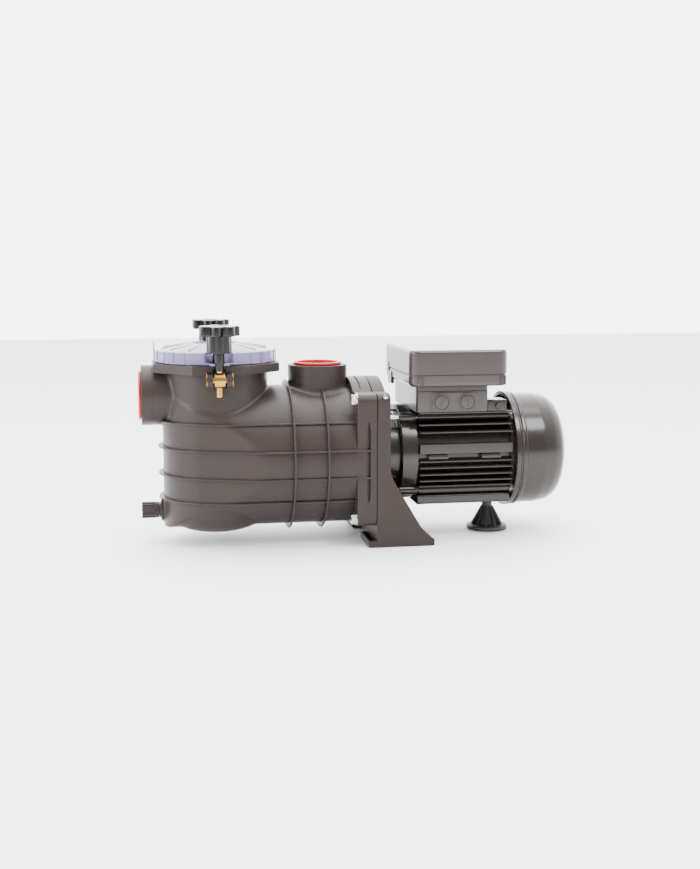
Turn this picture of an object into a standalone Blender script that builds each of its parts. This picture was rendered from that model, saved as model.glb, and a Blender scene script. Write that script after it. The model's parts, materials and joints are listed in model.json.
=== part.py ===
"""Self-priming swimming pool pump with its strainer pot, motor and terminal box.

Frame: metres, +Z up. +X runs along the shaft from the suction port to the motor's
fan, and the motor's cable entries face -Y. The origin is on the ground, under the
middle of the foot plates. Touching pieces keep a gap of FIT.
"""

from math import asin, cos, degrees, pi, radians, sin, sqrt, tan, tau

import bmesh
import bpy
from mathutils import Matrix, Vector

FIT = 0.0003
FINE = 32
MEDIUM = 24
HIDDEN = 16
COARSE = 12

# Shaft line and the strainer pot's upright axis.
SHAFT_Z = 0.1063
POT_X = -0.221

# Strainer pot.
POT_RADIUS = 0.065
POT_BORE = 0.060
POT_FLOOR_Z = 0.0127
RIM_LOW = 0.2145
RIM_TOP = 0.2257
RIM_APOTHEM = 0.077
LEDGE_Z = 0.2080
LEDGE_BORE = 0.0625

# Pump chamber, a barrel lying along the shaft.
BARREL_RADIUS = 0.088
CHAMBER_RADIUS = 0.082
CHAMBER_MOUTH = 0.078
CHAMBER_LEFT = -0.150
FLARE = 19
RIB = 0.0025
RIB_REACH = 0.0055
RIB_HEIGHTS = (0.057, 0.087, 0.121, 0.154)
HOOP_PLACES = (-0.132, -0.091)
HOOP_RADIUS = 0.0945

# Flange between the casing and the motor bracket.
FLANGE_LEFT = -0.0555
FLANGE_RIGHT = -0.0314
FLANGE_HALF_Y = 0.0875
FLANGE_LOW = 0.026
FLANGE_TOP = 0.1895
FLANGE_CORNER = 0.010
HUMP_RADIUS = 0.0975
CASING_BOLTS = ((-0.078, 0.183), (0.078, 0.183), (-0.078, 0.035), (0.078, 0.035))

# Ports, both with a 2 inch female pipe thread's minor radius.
PORT_RADIUS = 0.0371
PORT_BORE = 0.02835
SUCTION_Z = 0.1845
SUCTION_FACE = -0.3127
DISCHARGE_X = -0.092
DISCHARGE_FACE = 0.2200
CAP_RADIUS = 0.0305
CAP_PLUG = 0.0280
CAP_WALL = 0.0022
CAP_DEPTH = 0.0160
CAP_PROUD = 0.0034
SEAT_DEPTH = 0.0010
SEAT_GAP = 0.0004

# Where the wet end's moulding is divided.
SUCTION_SPLIT = -0.2985
POT_SPLIT = -0.1430
DISCHARGE_SPLIT = 0.2042

# Lid and its two clamps, one at the front and one at the back.
LID_LOW = 0.2265
LID_RADIUS = 0.0760
LID_SHOULDER = 0.2450
LID_CROWN = 0.2500
EAR_TOP = 0.2290
STUD_Y = 0.0810
STUD_RADIUS = 0.0040
STUD_BORE = 0.0043
PIVOT_Z = 0.2090
SWIVEL_RADIUS = 0.0098
SWIVEL_HALF = 0.00615
TRUNNION_HALF = 0.0152
CLEVIS_HALF = 0.0155
CLEVIS_GAP = 0.0080
COLLAR_LOW = EAR_TOP + FIT
HUB_LOW = 0.2413
STAR_LOW = 0.2616
STAR_TOP = 0.2736
STAR_RADIUS = 0.0250
STUD_TIP = 0.1890

# Drain plug with a G 1/4 thread.
DRAIN_Z = 0.0395
DRAIN_FACE = -0.2910
DRAIN_END = -0.3150
DRAIN_THREAD = 0.0063
DRAIN_BORE = 0.0067
DRAIN_HEAD = 0.0103
SEAL_THICKNESS = 0.0015

# Motor bracket and foot plates.
BRACKET_LEFT = FLANGE_RIGHT + FIT
BRACKET_RIGHT = -0.0145
FOOT_HALF_X = 0.0417
FOOT_THICKNESS = 0.008
FOOT_INNER_Y = 0.029
GUSSET = 0.008

# Motor.
SHIELD_LEFT = BRACKET_RIGHT + FIT
SHIELD_RIGHT = 0.0273
SHIELD_RING = 0.0610
FRAME_LEFT = SHIELD_RIGHT + FIT
FRAME_RIGHT = 0.1484
FRAME_BORE = 0.0505
FRAME_TUBE = 0.0540
FIN_REACH = 0.0640
FIN_CIRCLE = 0.0700
FIN = 0.0025
FIN_HEIGHTS = (0.040, 0.031, -0.0055, -0.0135, -0.022, -0.030, -0.0375)
DECK_LOW = 0.1600
DECK_TOP = 0.1627
SKIRT_LOW = 0.0440
SKIRT_TOP = 0.0510
SKIRT_HALF_Y = 0.050
REAR_LEFT = FRAME_RIGHT + FIT
REAR_RIGHT = 0.1630
TIE_BOLTS = ((-0.041, 0.0485), (0.041, 0.0485), (-0.046, -0.0435), (0.046, -0.0435))
BEARING_SEATS = ((0.0055, 0.0165), (0.1500, 0.1610))
BEARING_RADIUS = 0.0175
COVER_LIP = 0.1510
COVER_END = 0.2300

# Terminal box.
BOX_LEFT = 0.0114
BOX_RIGHT = 0.1362
BOX_HALF_Y = 0.0780
BOX_CORNER = 0.012
NECK_LEFT = 0.0225
NECK_RIGHT = 0.1140
NECK_HALF_Y = 0.0660
NECK_LOW = 0.1632
NECK_TOP = 0.1955
TRAY_LOW = NECK_TOP + FIT
TRAY_TOP = 0.2095
COVER_LOW = 0.2112
COVER_TOP = 0.2410
GLAND_PLACES = (0.0534, 0.0862)
GLAND_Z = 0.1760
PLUG_RADIUS = 0.0086

# Rear support.
REAR_FOOT_X = 0.1333
REAR_FOOT_RADIUS = 0.0264
REAR_FOOT_TOP = 0.0414
SUPPORT_STUD = 0.0040
SUPPORT_BORE = 0.0043
SUPPORT_STUD_LOW = 0.0100
SUPPORT_STUD_TOP = 0.0520

PARTS = "pool_pump"
CUTTERS = "pool_pump_cutters"
ROTATIONS = {"X": (0, pi / 2, 0), "Y": (-pi / 2, 0, 0), "Z": (0, 0, 0)}
PLATE_ROTATIONS = {"X": (pi / 2, 0, pi / 2), "Y": (pi / 2, 0, 0), "Z": (0, 0, 0)}


def clear_scene():
    for obj in list(bpy.data.objects):
        bpy.data.objects.remove(obj)
    for name in (PARTS, CUTTERS):
        bpy.context.scene.collection.children.link(bpy.data.collections.new(name))


def make_material(name, colour, roughness, metallic=0.0, alpha=1.0):
    material = bpy.data.materials.new(name)
    material.use_nodes = True
    shader = material.node_tree.nodes["Principled BSDF"]
    shader.inputs["Base Color"].default_value = (*colour, 1.0)
    shader.inputs["Roughness"].default_value = roughness
    shader.inputs["Metallic"].default_value = metallic
    shader.inputs["Alpha"].default_value = alpha
    return material


# Shapes. Each returns a loose object that part() names or a Boolean uses.


def link_mesh(mesh, location=(0, 0, 0), rotation=(0, 0, 0)):
    obj = bpy.data.objects.new("shape", mesh)
    obj.location = location
    obj.rotation_euler = rotation
    bpy.data.collections[PARTS].objects.link(obj)
    return obj


def box(low, high):
    mesh = bpy.data.meshes.new("box")
    shape = bmesh.new()
    bmesh.ops.create_cube(shape, size=1.0)
    low, high = Vector(low), Vector(high)
    bmesh.ops.scale(shape, verts=shape.verts, vec=high - low)
    bmesh.ops.translate(shape, verts=shape.verts, vec=(low + high) / 2)
    shape.to_mesh(mesh)
    shape.free()
    return link_mesh(mesh)


def cylinder(axis, centre, radius, low, high, segments=COARSE):
    """A cylinder along an axis, with low and high measured from the centre."""
    mesh = bpy.data.meshes.new("cylinder")
    shape = bmesh.new()
    bmesh.ops.create_cone(
        shape,
        cap_ends=True,
        segments=segments,
        radius1=radius,
        radius2=radius,
        depth=high - low,
        matrix=Matrix.Translation((0, 0, (low + high) / 2)),
    )
    shape.to_mesh(mesh)
    shape.free()
    mesh.shade_smooth()
    mesh.set_sharp_from_angle(angle=radians(40))
    return link_mesh(mesh, centre, ROTATIONS[axis])


def turned(axis, centre, profile, segments=MEDIUM):
    """A solid of revolution from (radius, height) points along its axis."""
    turns = zip(profile, profile[1:] + profile[:1])
    area = sum(a[0] * b[1] - b[0] * a[1] for a, b in turns)
    points = profile[::-1] if area > 0 else profile
    ring = all(radius > 0 for radius, _ in points)
    if not ring:
        start = points.index(max((p for p in points if p[0] == 0), key=lambda p: p[1]))
        points = points[start:] + points[:start]
    count = len(points)
    edges = [(i, (i + 1) % count) for i in range(count if ring else count - 1)]
    mesh = bpy.data.meshes.new("profile")
    mesh.from_pydata([(radius, 0, height) for radius, height in points], edges, [])
    obj = link_mesh(mesh, centre, ROTATIONS[axis])
    screw = obj.modifiers.new("turn", "SCREW")
    screw.angle = tau
    screw.steps = segments
    screw.render_steps = segments
    screw.use_merge_vertices = True
    screw.merge_threshold = 0.00001
    return obj


def plate(axis, outline, low, high):
    """A flat outline in the plane across an axis, filling low to high along it."""
    curve = bpy.data.curves.new("outline", "CURVE")
    curve.dimensions = "2D"
    curve.fill_mode = "BOTH"
    curve.extrude = (high - low) / 2
    spline = curve.splines.new("POLY")
    spline.points.add(len(outline) - 1)
    for point, (u, v) in zip(spline.points, outline):
        point.co = (u, v, 0, 1)
    spline.use_cyclic_u = True
    flat = bpy.data.objects.new("outline", curve)
    middle = (high + low) / 2
    flat.location = {"X": (middle, 0, 0), "Y": (0, middle, 0), "Z": (0, 0, middle)}[axis]
    flat.rotation_euler = PLATE_ROTATIONS[axis]
    bpy.data.collections[PARTS].objects.link(flat)
    return as_mesh(flat)


def as_mesh(curve_object):
    """The curve's solid as a mesh object with its caps welded on."""
    bpy.context.view_layer.update()
    graph = bpy.context.evaluated_depsgraph_get()
    mesh = bpy.data.meshes.new_from_object(curve_object.evaluated_get(graph))
    shape = bmesh.new()
    shape.from_mesh(mesh)
    bmesh.ops.remove_doubles(shape, verts=shape.verts, dist=0.00001)
    bmesh.ops.recalc_face_normals(shape, faces=shape.faces)
    shape.to_mesh(mesh)
    shape.free()
    obj = bpy.data.objects.new("shape", mesh)
    obj.matrix_world = curve_object.matrix_world.copy()
    bpy.data.collections[PARTS].objects.link(obj)
    bpy.data.objects.remove(curve_object)
    return obj


def combine(obj, operation, tools):
    """Adds one Boolean for each tool, which moves to the cutters' collection."""
    for tool in tools:
        bpy.data.collections[PARTS].objects.unlink(tool)
        bpy.data.collections[CUTTERS].objects.link(tool)
        tool.hide_render = True
        tool.display_type = "WIRE"
        boolean = obj.modifiers.new(operation.lower(), "BOOLEAN")
        boolean.operation = operation
        boolean.object = tool
    return obj


def join(obj, *tools):
    return combine(obj, "UNION", tools)


def cut(obj, *tools):
    return combine(obj, "DIFFERENCE", tools)


def overlap(obj, *tools):
    return combine(obj, "INTERSECT", tools)


def bevel(obj, width, segments=1):
    modifier = obj.modifiers.new("bevel", "BEVEL")
    modifier.width = width
    modifier.segments = segments
    modifier.limit_method = "ANGLE"
    return obj


def part(name, obj, material):
    """Names a finished sub-part and gives it its material."""
    obj.name = name
    obj.data.name = name
    obj.data.materials.clear()
    obj.data.materials.append(material)
    return obj


# Outlines.


def arc(centre, radius, start, end, steps):
    """Points on an arc, with angles in degrees."""
    angles = [radians(start + (end - start) * i / steps) for i in range(steps + 1)]
    return [(centre[0] + radius * cos(a), centre[1] + radius * sin(a)) for a in angles]


def rounded_rectangle(low, high, radius, steps=4):
    (left, bottom), (right, top) = low, high
    corners = (
        ((right - radius, top - radius), 0),
        ((left + radius, top - radius), 90),
        ((left + radius, bottom + radius), 180),
        ((right - radius, bottom + radius), 270),
    )
    return [p for corner, start in corners for p in arc(corner, radius, start, start + 90, steps)]


def star(centre, radius, hollow, lobes, steps=2):
    """A grip's outline: round lobes with hollows between them."""
    count = lobes * steps * 2
    points = []
    for i in range(count):
        angle = tau * i / count
        reach = radius - hollow * (0.5 - 0.5 * cos(lobes * angle)) ** 1.5
        points.append((centre[0] + reach * cos(angle), centre[1] + reach * sin(angle)))
    return points


def casing_plan(radius, half_width, end_x):
    """A half circle round the pot with tangents out to straight sides, in (x, y)."""
    touch = arc((POT_X, 0), radius, 90 + FLARE, 270 - FLARE, 8)
    touch_x, touch_y = touch[-1]
    flare_x = touch_x + (half_width + touch_y) / tan(radians(FLARE))
    front = [(end_x, half_width), (flare_x, half_width)]
    return front + touch + [(x, -y) for x, y in reversed(front)]


def pot_plan(inset):
    return casing_plan(POT_RADIUS + 0.001 - inset, BARREL_RADIUS - inset, FLANGE_RIGHT - 0.010)


def rib_plan(height):
    """Plan of one flat rib, which hugs the casing at that height."""
    rise = height - SHAFT_Z
    half_width = sqrt(BARREL_RADIUS**2 - rise**2) + RIB_REACH - 0.0015
    return casing_plan(POT_RADIUS + RIB_REACH + 0.001, half_width, FLANGE_LEFT + 0.004)


def flange_outline(bottom):
    """The square flange with a round hump on top, in (y, z)."""
    square = rounded_rectangle(
        (-FLANGE_HALF_Y, bottom), (FLANGE_HALF_Y, FLANGE_TOP), FLANGE_CORNER, 3
    )
    meet = degrees(asin((FLANGE_TOP - SHAFT_Z) / HUMP_RADIUS))
    hump = arc((0, SHAFT_Z), HUMP_RADIUS, meet, 180 - meet, 8)
    return square[:4] + hump + square[4:]


def hexagon(centre, radius):
    return arc(centre, radius, 0, 300, 5)


# Wet end.


def pump_body(material):
    """The ribbed moulding, divided into its pot, its casing and the ends of its two ports."""
    half = FIT / 2
    regions = {
        "suction_port": ((-0.330, -0.10, 0.140), (SUCTION_SPLIT - half, 0.10, 0.230)),
        "strainer_pot": ((SUCTION_SPLIT + half, -0.12, 0.0), (POT_SPLIT - half, 0.12, 0.240)),
        "pump_casing": ((POT_SPLIT + half, -0.12, 0.0), (0.0, 0.12, DISCHARGE_SPLIT - half)),
        "discharge_port": ((-0.135, -0.05, DISCHARGE_SPLIT + half), (-0.050, 0.05, 0.240)),
    }
    for name, (low, high) in regions.items():
        piece = overlap(moulding(), box(low, high))
        for modifier in piece.modifiers:
            modifier.solver = "MANIFOLD"
        part(name, piece, material)


def moulding():
    shell = cylinder("X", (0, 0, SHAFT_Z), BARREL_RADIUS, -0.300, FLANGE_RIGHT - 0.008, FINE)
    overlap(shell, plate("Z", pot_plan(0), 0.0, 0.230))
    dome = [
        (0, POT_FLOOR_Z),
        (0.024, 0.0134),
        (0.042, 0.0170),
        (0.054, 0.0235),
        (0.0615, 0.0335),
        (POT_RADIUS, 0.0470),
    ]
    rim = [(POT_RADIUS, 0.2080), (0.0680, RIM_LOW + 0.002), (0, RIM_LOW + 0.002)]
    join(shell, turned("Z", (POT_X, 0, 0), dome + rim, FINE))
    apothem = RIM_APOTHEM / cos(pi / 8)
    join(shell, plate("Z", arc((POT_X, 0), apothem, 22.5, 337.5, 7), RIM_LOW, RIM_TOP))
    for height in RIB_HEIGHTS:
        join(shell, plate("Z", rib_plan(height), height - RIB / 2, height + RIB / 2))
    for place in HOOP_PLACES:
        join(shell, cylinder("X", (place, 0, SHAFT_Z), HOOP_RADIUS, -RIB / 2, RIB / 2, FINE))
    join(shell, plate("X", flange_outline(FLANGE_LOW), FLANGE_LEFT, FLANGE_RIGHT))
    join(shell, cylinder("X", (POT_X, 0, SUCTION_Z), PORT_RADIUS, SUCTION_FACE - POT_X, 0, MEDIUM))
    join(
        shell,
        cylinder("Z", (DISCHARGE_X, 0, 0), PORT_RADIUS, SHAFT_Z, DISCHARGE_FACE, MEDIUM),
        cylinder("Z", (DISCHARGE_X, 0, 0), PORT_RADIUS + 0.004, SHAFT_Z, 0.196, MEDIUM),
        cylinder("X", (0, 0, DRAIN_Z), 0.014, DRAIN_FACE, -0.2500, COARSE),
    )
    for side in (-1, 1):
        join(shell, clevis(side))
        cut(shell, *clevis_cutters(side))
    cut(shell, pot_hollow(), chamber_hollow(), *port_hollows())
    groove = [(0.0795, -0.0340), (0.0830, -0.0340), (0.0830, -0.0300), (0.0795, -0.0300)]
    cut(shell, turned("X", (0, 0, SHAFT_Z), groove, MEDIUM))
    for y, z in CASING_BOLTS:
        cut(shell, cylinder("X", (0, y, z), 0.0043, FLANGE_LEFT - 0.01, FLANGE_RIGHT + 0.01, 8))
    return shell


def clevis(side):
    low = (POT_X - CLEVIS_HALF, 0.055, 0.1960)
    high = (POT_X + CLEVIS_HALF, 0.0880, RIM_TOP)
    return mirrored_box(low, high, side)


def mirrored_box(low, high, side):
    """A box whose y values are mirrored to the side's half."""
    near, far = sorted((side * low[1], side * high[1]))
    return box((low[0], near, low[2]), (high[0], far, high[2]))


def clevis_cutters(side):
    slot = mirrored_box(
        (POT_X - CLEVIS_GAP, 0.0690, 0.1900), (POT_X + CLEVIS_GAP, 0.0990, 0.2225), side
    )
    notch = mirrored_box((POT_X - 0.0055, 0.0758, 0.2100), (POT_X + 0.0055, 0.0990, 0.2400), side)
    hole = cylinder("X", (POT_X, side * STUD_Y, PIVOT_Z), 0.0043, -0.020, 0.020, COARSE)
    return slot, notch, hole


def pot_hollow():
    profile = [
        (0, 0.0190),
        (0.040, 0.0215),
        (0.055, 0.0330),
        (POT_BORE, 0.0480),
        (POT_BORE, LEDGE_Z),
        (LEDGE_BORE, LEDGE_Z),
        (LEDGE_BORE, 0.2400),
        (0, 0.2400),
    ]
    hollow = turned("Z", (POT_X, 0, 0), profile, FINE)
    groove = [(0.0665, 0.2238), (0.0700, 0.2238), (0.0700, 0.2300), (0.0665, 0.2300)]
    return join(hollow, turned("Z", (POT_X, 0, 0), groove, MEDIUM))


def chamber_hollow():
    hollow = cylinder("X", (0, 0, SHAFT_Z), CHAMBER_RADIUS, CHAMBER_LEFT, FLANGE_LEFT + 0.012, FINE)
    mouth = cylinder("X", (0, 0, SHAFT_Z), CHAMBER_MOUTH, FLANGE_LEFT, 0.0, MEDIUM)
    passage = cylinder("X", (0, 0, SHAFT_Z), 0.025, -0.170, -0.145, MEDIUM)
    return join(hollow, mouth, passage)


def port_hollows():
    """Both ports' bores, each with a seat for its cap's flange, and the drain's hole."""
    seat = CAP_RADIUS + SEAT_GAP
    suction_seat = SUCTION_FACE + SEAT_DEPTH
    discharge_seat = DISCHARGE_FACE - SEAT_DEPTH
    return (
        cylinder("X", (0, 0, SUCTION_Z), PORT_BORE, -0.340, -0.270, MEDIUM),
        cylinder("X", (0, 0, SUCTION_Z), seat, -0.350, suction_seat, MEDIUM),
        cylinder("Z", (DISCHARGE_X, 0, 0), PORT_BORE, 0.160, 0.240, MEDIUM),
        cylinder("Z", (DISCHARGE_X, 0, 0), seat, discharge_seat, 0.250, MEDIUM),
        cylinder("X", (0, 0, DRAIN_Z), DRAIN_BORE, -0.300, -0.265, COARSE),
    )


def strainer_lid(material):
    profile = [
        (0, 0.2425),
        (0.0610, 0.2395),
        (0.0610, LID_LOW),
        (LID_RADIUS, LID_LOW),
        (LID_RADIUS, LID_SHOULDER - 0.002),
        (LID_RADIUS - 0.002, LID_SHOULDER),
        (0.018, LID_CROWN - 0.0020),
        (0.016, LID_CROWN - 0.0002),
        (0, LID_CROWN - 0.0002),
    ]
    lid = turned("Z", (POT_X, 0, 0), profile, FINE)
    for side in (-1, 1):
        well = cylinder("Z", (POT_X, side * STUD_Y, 0), 0.0190, EAR_TOP, 0.260, HIDDEN)
        cut(lid, well)
        ear = plate("X", ear_outline(side), POT_X - 0.0120, POT_X + 0.0120)
        join(lid, ear)
        slot = mirrored_box((POT_X - 0.0052, 0.0755, 0.22), (POT_X + 0.0052, 0.1, 0.24), side)
        cut(lid, slot)
    return part("strainer_lid", lid, material)


def ear_outline(side):
    """The clamp ear's side view in (y, z), bevelled to clear the swinging collar."""
    points = [
        (0.0640, LID_LOW),
        (0.0850, LID_LOW),
        (0.0850, EAR_TOP - 0.0012),
        (STUD_Y, EAR_TOP),
        (0.0640, EAR_TOP),
    ]
    return [(side * y, z) for y, z in points]


def lid_seal(material):
    profile = [(0.0668, 0.2241), (0.0697, 0.2241), (0.0697, 0.2262), (0.0668, 0.2262)]
    return part("lid_seal", turned("Z", (POT_X, 0, 0), profile, MEDIUM), material)


def strainer_basket(material):
    profile = [
        (0, 0.0450),
        (0.0500, 0.0450),
        (0.0555, 0.2083),
        (0.0622, 0.2083),
        (0.0622, 0.2110),
        (0.0535, 0.2110),
        (0.0482, 0.0470),
        (0, 0.0470),
    ]
    basket = turned("Z", (POT_X, 0, 0), profile, HIDDEN)
    for i in range(6):
        slot = box((-0.080, -0.0018, 0.0600), (0.080, 0.0018, 0.1450))
        slot.location = (POT_X, 0, 0)
        slot.rotation_euler = (0, 0, pi * (i + 0.5) / 6)
        cut(basket, slot)
    cut(basket, cylinder("X", (0, 0, SUCTION_Z - 0.002), 0.0225, -0.290, -0.250, COARSE))
    bar = box((POT_X - 0.005, -0.0560, 0.2095), (POT_X + 0.005, 0.0560, 0.2140))
    return part("strainer_basket", join(basket, bar), material)


def port_cap(name, material, axis, centre, sign):
    """A push-in transport cap: a cup with a flange, opening outwards along the axis."""
    profile = [
        (0, -CAP_DEPTH),
        (CAP_PLUG, -CAP_DEPTH),
        (CAP_PLUG, FIT - SEAT_DEPTH),
        (CAP_RADIUS, FIT - SEAT_DEPTH),
        (CAP_RADIUS, CAP_PROUD),
        (CAP_PLUG - CAP_WALL, CAP_PROUD),
        (CAP_PLUG - CAP_WALL, -CAP_DEPTH + CAP_WALL),
        (0, -CAP_DEPTH + CAP_WALL),
    ]
    profile = [(radius, sign * height) for radius, height in profile]
    return part(name, turned(axis, centre, profile, MEDIUM), material)


def drain_plug(body_material, seal_material):
    left = DRAIN_FACE - FIT - SEAL_THICKNESS
    ring = [
        (DRAIN_BORE, left),
        (DRAIN_HEAD, left),
        (DRAIN_HEAD, DRAIN_FACE - FIT),
        (DRAIN_BORE, DRAIN_FACE - FIT),
    ]
    part("drain_seal", turned("X", (0, 0, DRAIN_Z), ring, COARSE), seal_material)
    head = plate("X", star((0, DRAIN_Z), DRAIN_HEAD, 0.0012, 8, 2), DRAIN_END, left - FIT)
    thread = cylinder("X", (0, 0, DRAIN_Z), DRAIN_THREAD, left - 0.002, -0.2800, COARSE)
    return part("drain_plug", join(head, thread), body_material)


def clamp(label, side, brass, black):
    """One lid clamp: a swivel in the clevis, a stud, a collar and a star knob."""
    stud_y = side * STUD_Y
    pivot = (POT_X, stud_y, PIVOT_Z)
    swivel = cylinder("X", pivot, SWIVEL_RADIUS, -SWIVEL_HALF, SWIVEL_HALF, HIDDEN)
    join(swivel, cylinder("X", pivot, 0.0040, -TRUNNION_HALF, TRUNNION_HALF, COARSE))
    cut(swivel, cylinder("Z", (POT_X, stud_y, 0), STUD_BORE, 0.190, 0.230, COARSE))
    part(label + "_swivel", swivel, brass)
    stud = cylinder("Z", (POT_X, stud_y, 0), STUD_RADIUS, STUD_TIP, 0.2580, COARSE)
    part(label + "_stud", stud, brass)
    collar_profile = [
        (STUD_BORE, COLLAR_LOW),
        (0.0060, COLLAR_LOW),
        (0.0060, HUB_LOW - FIT),
        (STUD_BORE, HUB_LOW - FIT),
    ]
    part(label + "_collar", turned("Z", (POT_X, stud_y, 0), collar_profile, COARSE), black)
    star_head = plate("Z", star((POT_X, stud_y), STAR_RADIUS, 0.0065, 7), STAR_LOW, STAR_TOP)
    hub = plate("Z", star((POT_X, stud_y), 0.0150, 0.0012, 8, 1), HUB_LOW, STAR_LOW + 0.003)
    knob = join(star_head, hub)
    cut(knob, cylinder("Z", (POT_X, stud_y, 0), STUD_BORE, 0.230, 0.2584, COARSE))
    part(label + "_knob", knob, black)


# Hydraulics and shaft seal.


def diffuser(material):
    profile = [
        (0.0210, -0.1580),
        (0.0246, -0.1580),
        (0.0246, -0.1120),
        (0.0640, -0.0880),
        (0.0640, -0.0480),
        (0.0600, -0.0480),
        (0.0600, -0.0850),
        (0.0210, -0.1080),
    ]
    ring = turned("X", (0, 0, SHAFT_Z), profile, HIDDEN)
    for i in range(8):
        vane = box((-0.0820, -0.0012, 0.0620), (-0.0500, 0.0012, 0.0745))
        vane.location = (0, 0, SHAFT_Z)
        vane.rotation_euler = (tau * (i + 0.5) / 8, 0, 0)
        join(ring, vane)
    return part("diffuser", ring, material)


def impeller(material):
    profile = [
        (0.0073, -0.0840),
        (0.0120, -0.0840),
        (0.0140, -0.0620),
        (0.0550, -0.0590),
        (0.0550, -0.0565),
        (0.0073, -0.0565),
    ]
    wheel = turned("X", (0, 0, SHAFT_Z), profile, HIDDEN)
    shroud = [
        (0.0180, -0.0900),
        (0.0200, -0.0900),
        (0.0200, -0.0790),
        (0.0550, -0.0715),
        (0.0550, -0.0695),
        (0.0180, -0.0765),
    ]
    join(wheel, turned("X", (0, 0, SHAFT_Z), shroud, HIDDEN))
    for i in range(6):
        vane = box((-0.0780, -0.0012, 0.0125), (-0.0580, 0.0012, 0.0540))
        vane.location = (0, 0, SHAFT_Z)
        vane.rotation_euler = (tau * i / 6, 0, 0)
        join(wheel, vane)
    trim = [(0.0560, -0.0930), (0.0900, -0.0930), (0.0900, -0.0500), (0.0560, -0.0500)]
    cut(wheel, turned("X", (0, 0, SHAFT_Z), trim, HIDDEN))
    return part("impeller", wheel, material)


def impeller_nut(material):
    nut = plate("X", hexagon((0, SHAFT_Z), 0.0095), -0.0930, -0.0843)
    cut(nut, cylinder("X", (0, 0, SHAFT_Z), 0.0053, -0.10, -0.08, COARSE))
    return part("impeller_nut", nut, material)


def shaft_seal(plate_material, seat_material, head_material, rubber):
    cover = [
        (0.0120, -0.0308),
        (0.0840, -0.0308),
        (0.0840, -0.0250),
        (0.0240, -0.0250),
        (0.0180, -0.0180),
        (0.0090, -0.0180),
        (0.0090, -0.0225),
        (0.0120, -0.0225),
    ]
    part("seal_plate", turned("X", (0, 0, SHAFT_Z), cover, MEDIUM), plate_material)
    seat = [(0.0078, -0.0305), (0.0117, -0.0305), (0.0117, -0.0228), (0.0078, -0.0228)]
    part("seal_seat", turned("X", (0, 0, SHAFT_Z), seat, COARSE), seat_material)
    head = [(0.0073, -0.0560), (0.0105, -0.0560), (0.0105, -0.0308), (0.0073, -0.0308)]
    part("seal_head", turned("X", (0, 0, SHAFT_Z), head, COARSE), head_material)
    ring = [(0.0798, -0.0337), (0.0827, -0.0337), (0.0827, -0.0311), (0.0798, -0.0311)]
    part("casing_seal", turned("X", (0, 0, SHAFT_Z), ring, MEDIUM), rubber)


def casing_bolts(material):
    for i, (y, z) in enumerate(CASING_BOLTS):
        head = plate("X", hexagon((y, z), 0.0066), -0.0625, FLANGE_LEFT - FIT)
        shank = cylinder("X", (0, y, z), 0.0038, -0.0600, -0.0170, 8)
        part(f"casing_bolt_{i + 1}", join(head, shank), material)


# Motor bracket.


def motor_bracket(material):
    frame = plate("X", flange_outline(0.0005), BRACKET_LEFT, BRACKET_RIGHT)
    for side in (-1, 1):
        join(frame, *bracket_leg(side))
        cut(frame, cylinder("Z", (0.024, side * 0.058, 0), 0.0048, -0.005, 0.015, COARSE))
    join(frame, box((-0.0300, -0.030, 0), (0.0150, 0.030, FOOT_THICKNESS)))
    cut(
        frame,
        cylinder("X", (0, 0, SHAFT_Z), 0.0843, -0.040, -0.0247, MEDIUM),
        cylinder("X", (0, 0, SHAFT_Z), 0.0400, -0.040, 0.0, MEDIUM),
    )
    for y, rise in TIE_BOLTS:
        cut(frame, cylinder("X", (0, y, SHAFT_Z + rise), 0.0034, -0.0215, 0.0, 8))
    for y, z in CASING_BOLTS:
        cut(frame, cylinder("X", (0, y, z), 0.0043, -0.040, -0.0165, 8))
    return part("motor_bracket", frame, material)


def bracket_leg(side):
    """One foot plate with the gusset that rises from it to the bracket's face."""
    foot = mirrored_box(
        (-FOOT_HALF_X, FOOT_INNER_Y, 0), (FOOT_HALF_X, FLANGE_HALF_Y, FOOT_THICKNESS), side
    )
    profile = [
        (-0.0300, 0.004),
        (0.0400, 0.004),
        (0.0400, FOOT_THICKNESS),
        (0.0225, 0.020),
        (-0.0030, 0.071),
        (-0.0150, 0.121),
        (-0.0300, 0.121),
    ]
    far = side * FLANGE_HALF_Y
    near = side * (FLANGE_HALF_Y - GUSSET)
    return foot, plate("Y", profile, min(near, far), max(near, far))


# Motor.


def front_endshield(material):
    profile = [
        (0.0300, SHIELD_LEFT),
        (0.0500, SHIELD_LEFT),
        (0.0500, 0.0060),
        (SHIELD_RING, 0.0060),
        (SHIELD_RING, SHIELD_RIGHT),
        (0.0460, SHIELD_RIGHT),
        (0.0460, 0.0215),
        (0.0178, 0.0215),
        (0.0178, 0.0052),
        (0.0090, 0.0052),
        (0.0090, 0.0022),
        (0.0300, 0.0022),
    ]
    shield = turned("X", (0, 0, SHAFT_Z), profile, MEDIUM)
    for y, rise in TIE_BOLTS:
        centre = (0, y, SHAFT_Z + rise)
        join(shield, cylinder("X", centre, 0.0060, 0.0045, SHIELD_RIGHT - 0.0006, 12))
        cut(shield, cylinder("X", centre, 0.0034, -0.020, 0.040, 8))
    return part("front_endshield", shield, material)


def rear_endshield(material):
    profile = [
        (0.0178, REAR_LEFT),
        (0.0600, REAR_LEFT),
        (0.0600, REAR_RIGHT - 0.004),
        (0.0240, REAR_RIGHT),
        (0.0090, REAR_RIGHT),
        (0.0090, 0.1613),
        (0.0178, 0.1613),
    ]
    shield = turned("X", (0, 0, SHAFT_Z), profile, MEDIUM)
    for y, rise in TIE_BOLTS:
        centre = (0, y, SHAFT_Z + rise)
        join(shield, cylinder("X", centre, 0.0060, REAR_LEFT + 0.0006, REAR_RIGHT - 0.001, 12))
        cut(shield, cylinder("X", centre, 0.0034, 0.140, 0.170, 8))
    return part("rear_endshield", shield, material)


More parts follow.
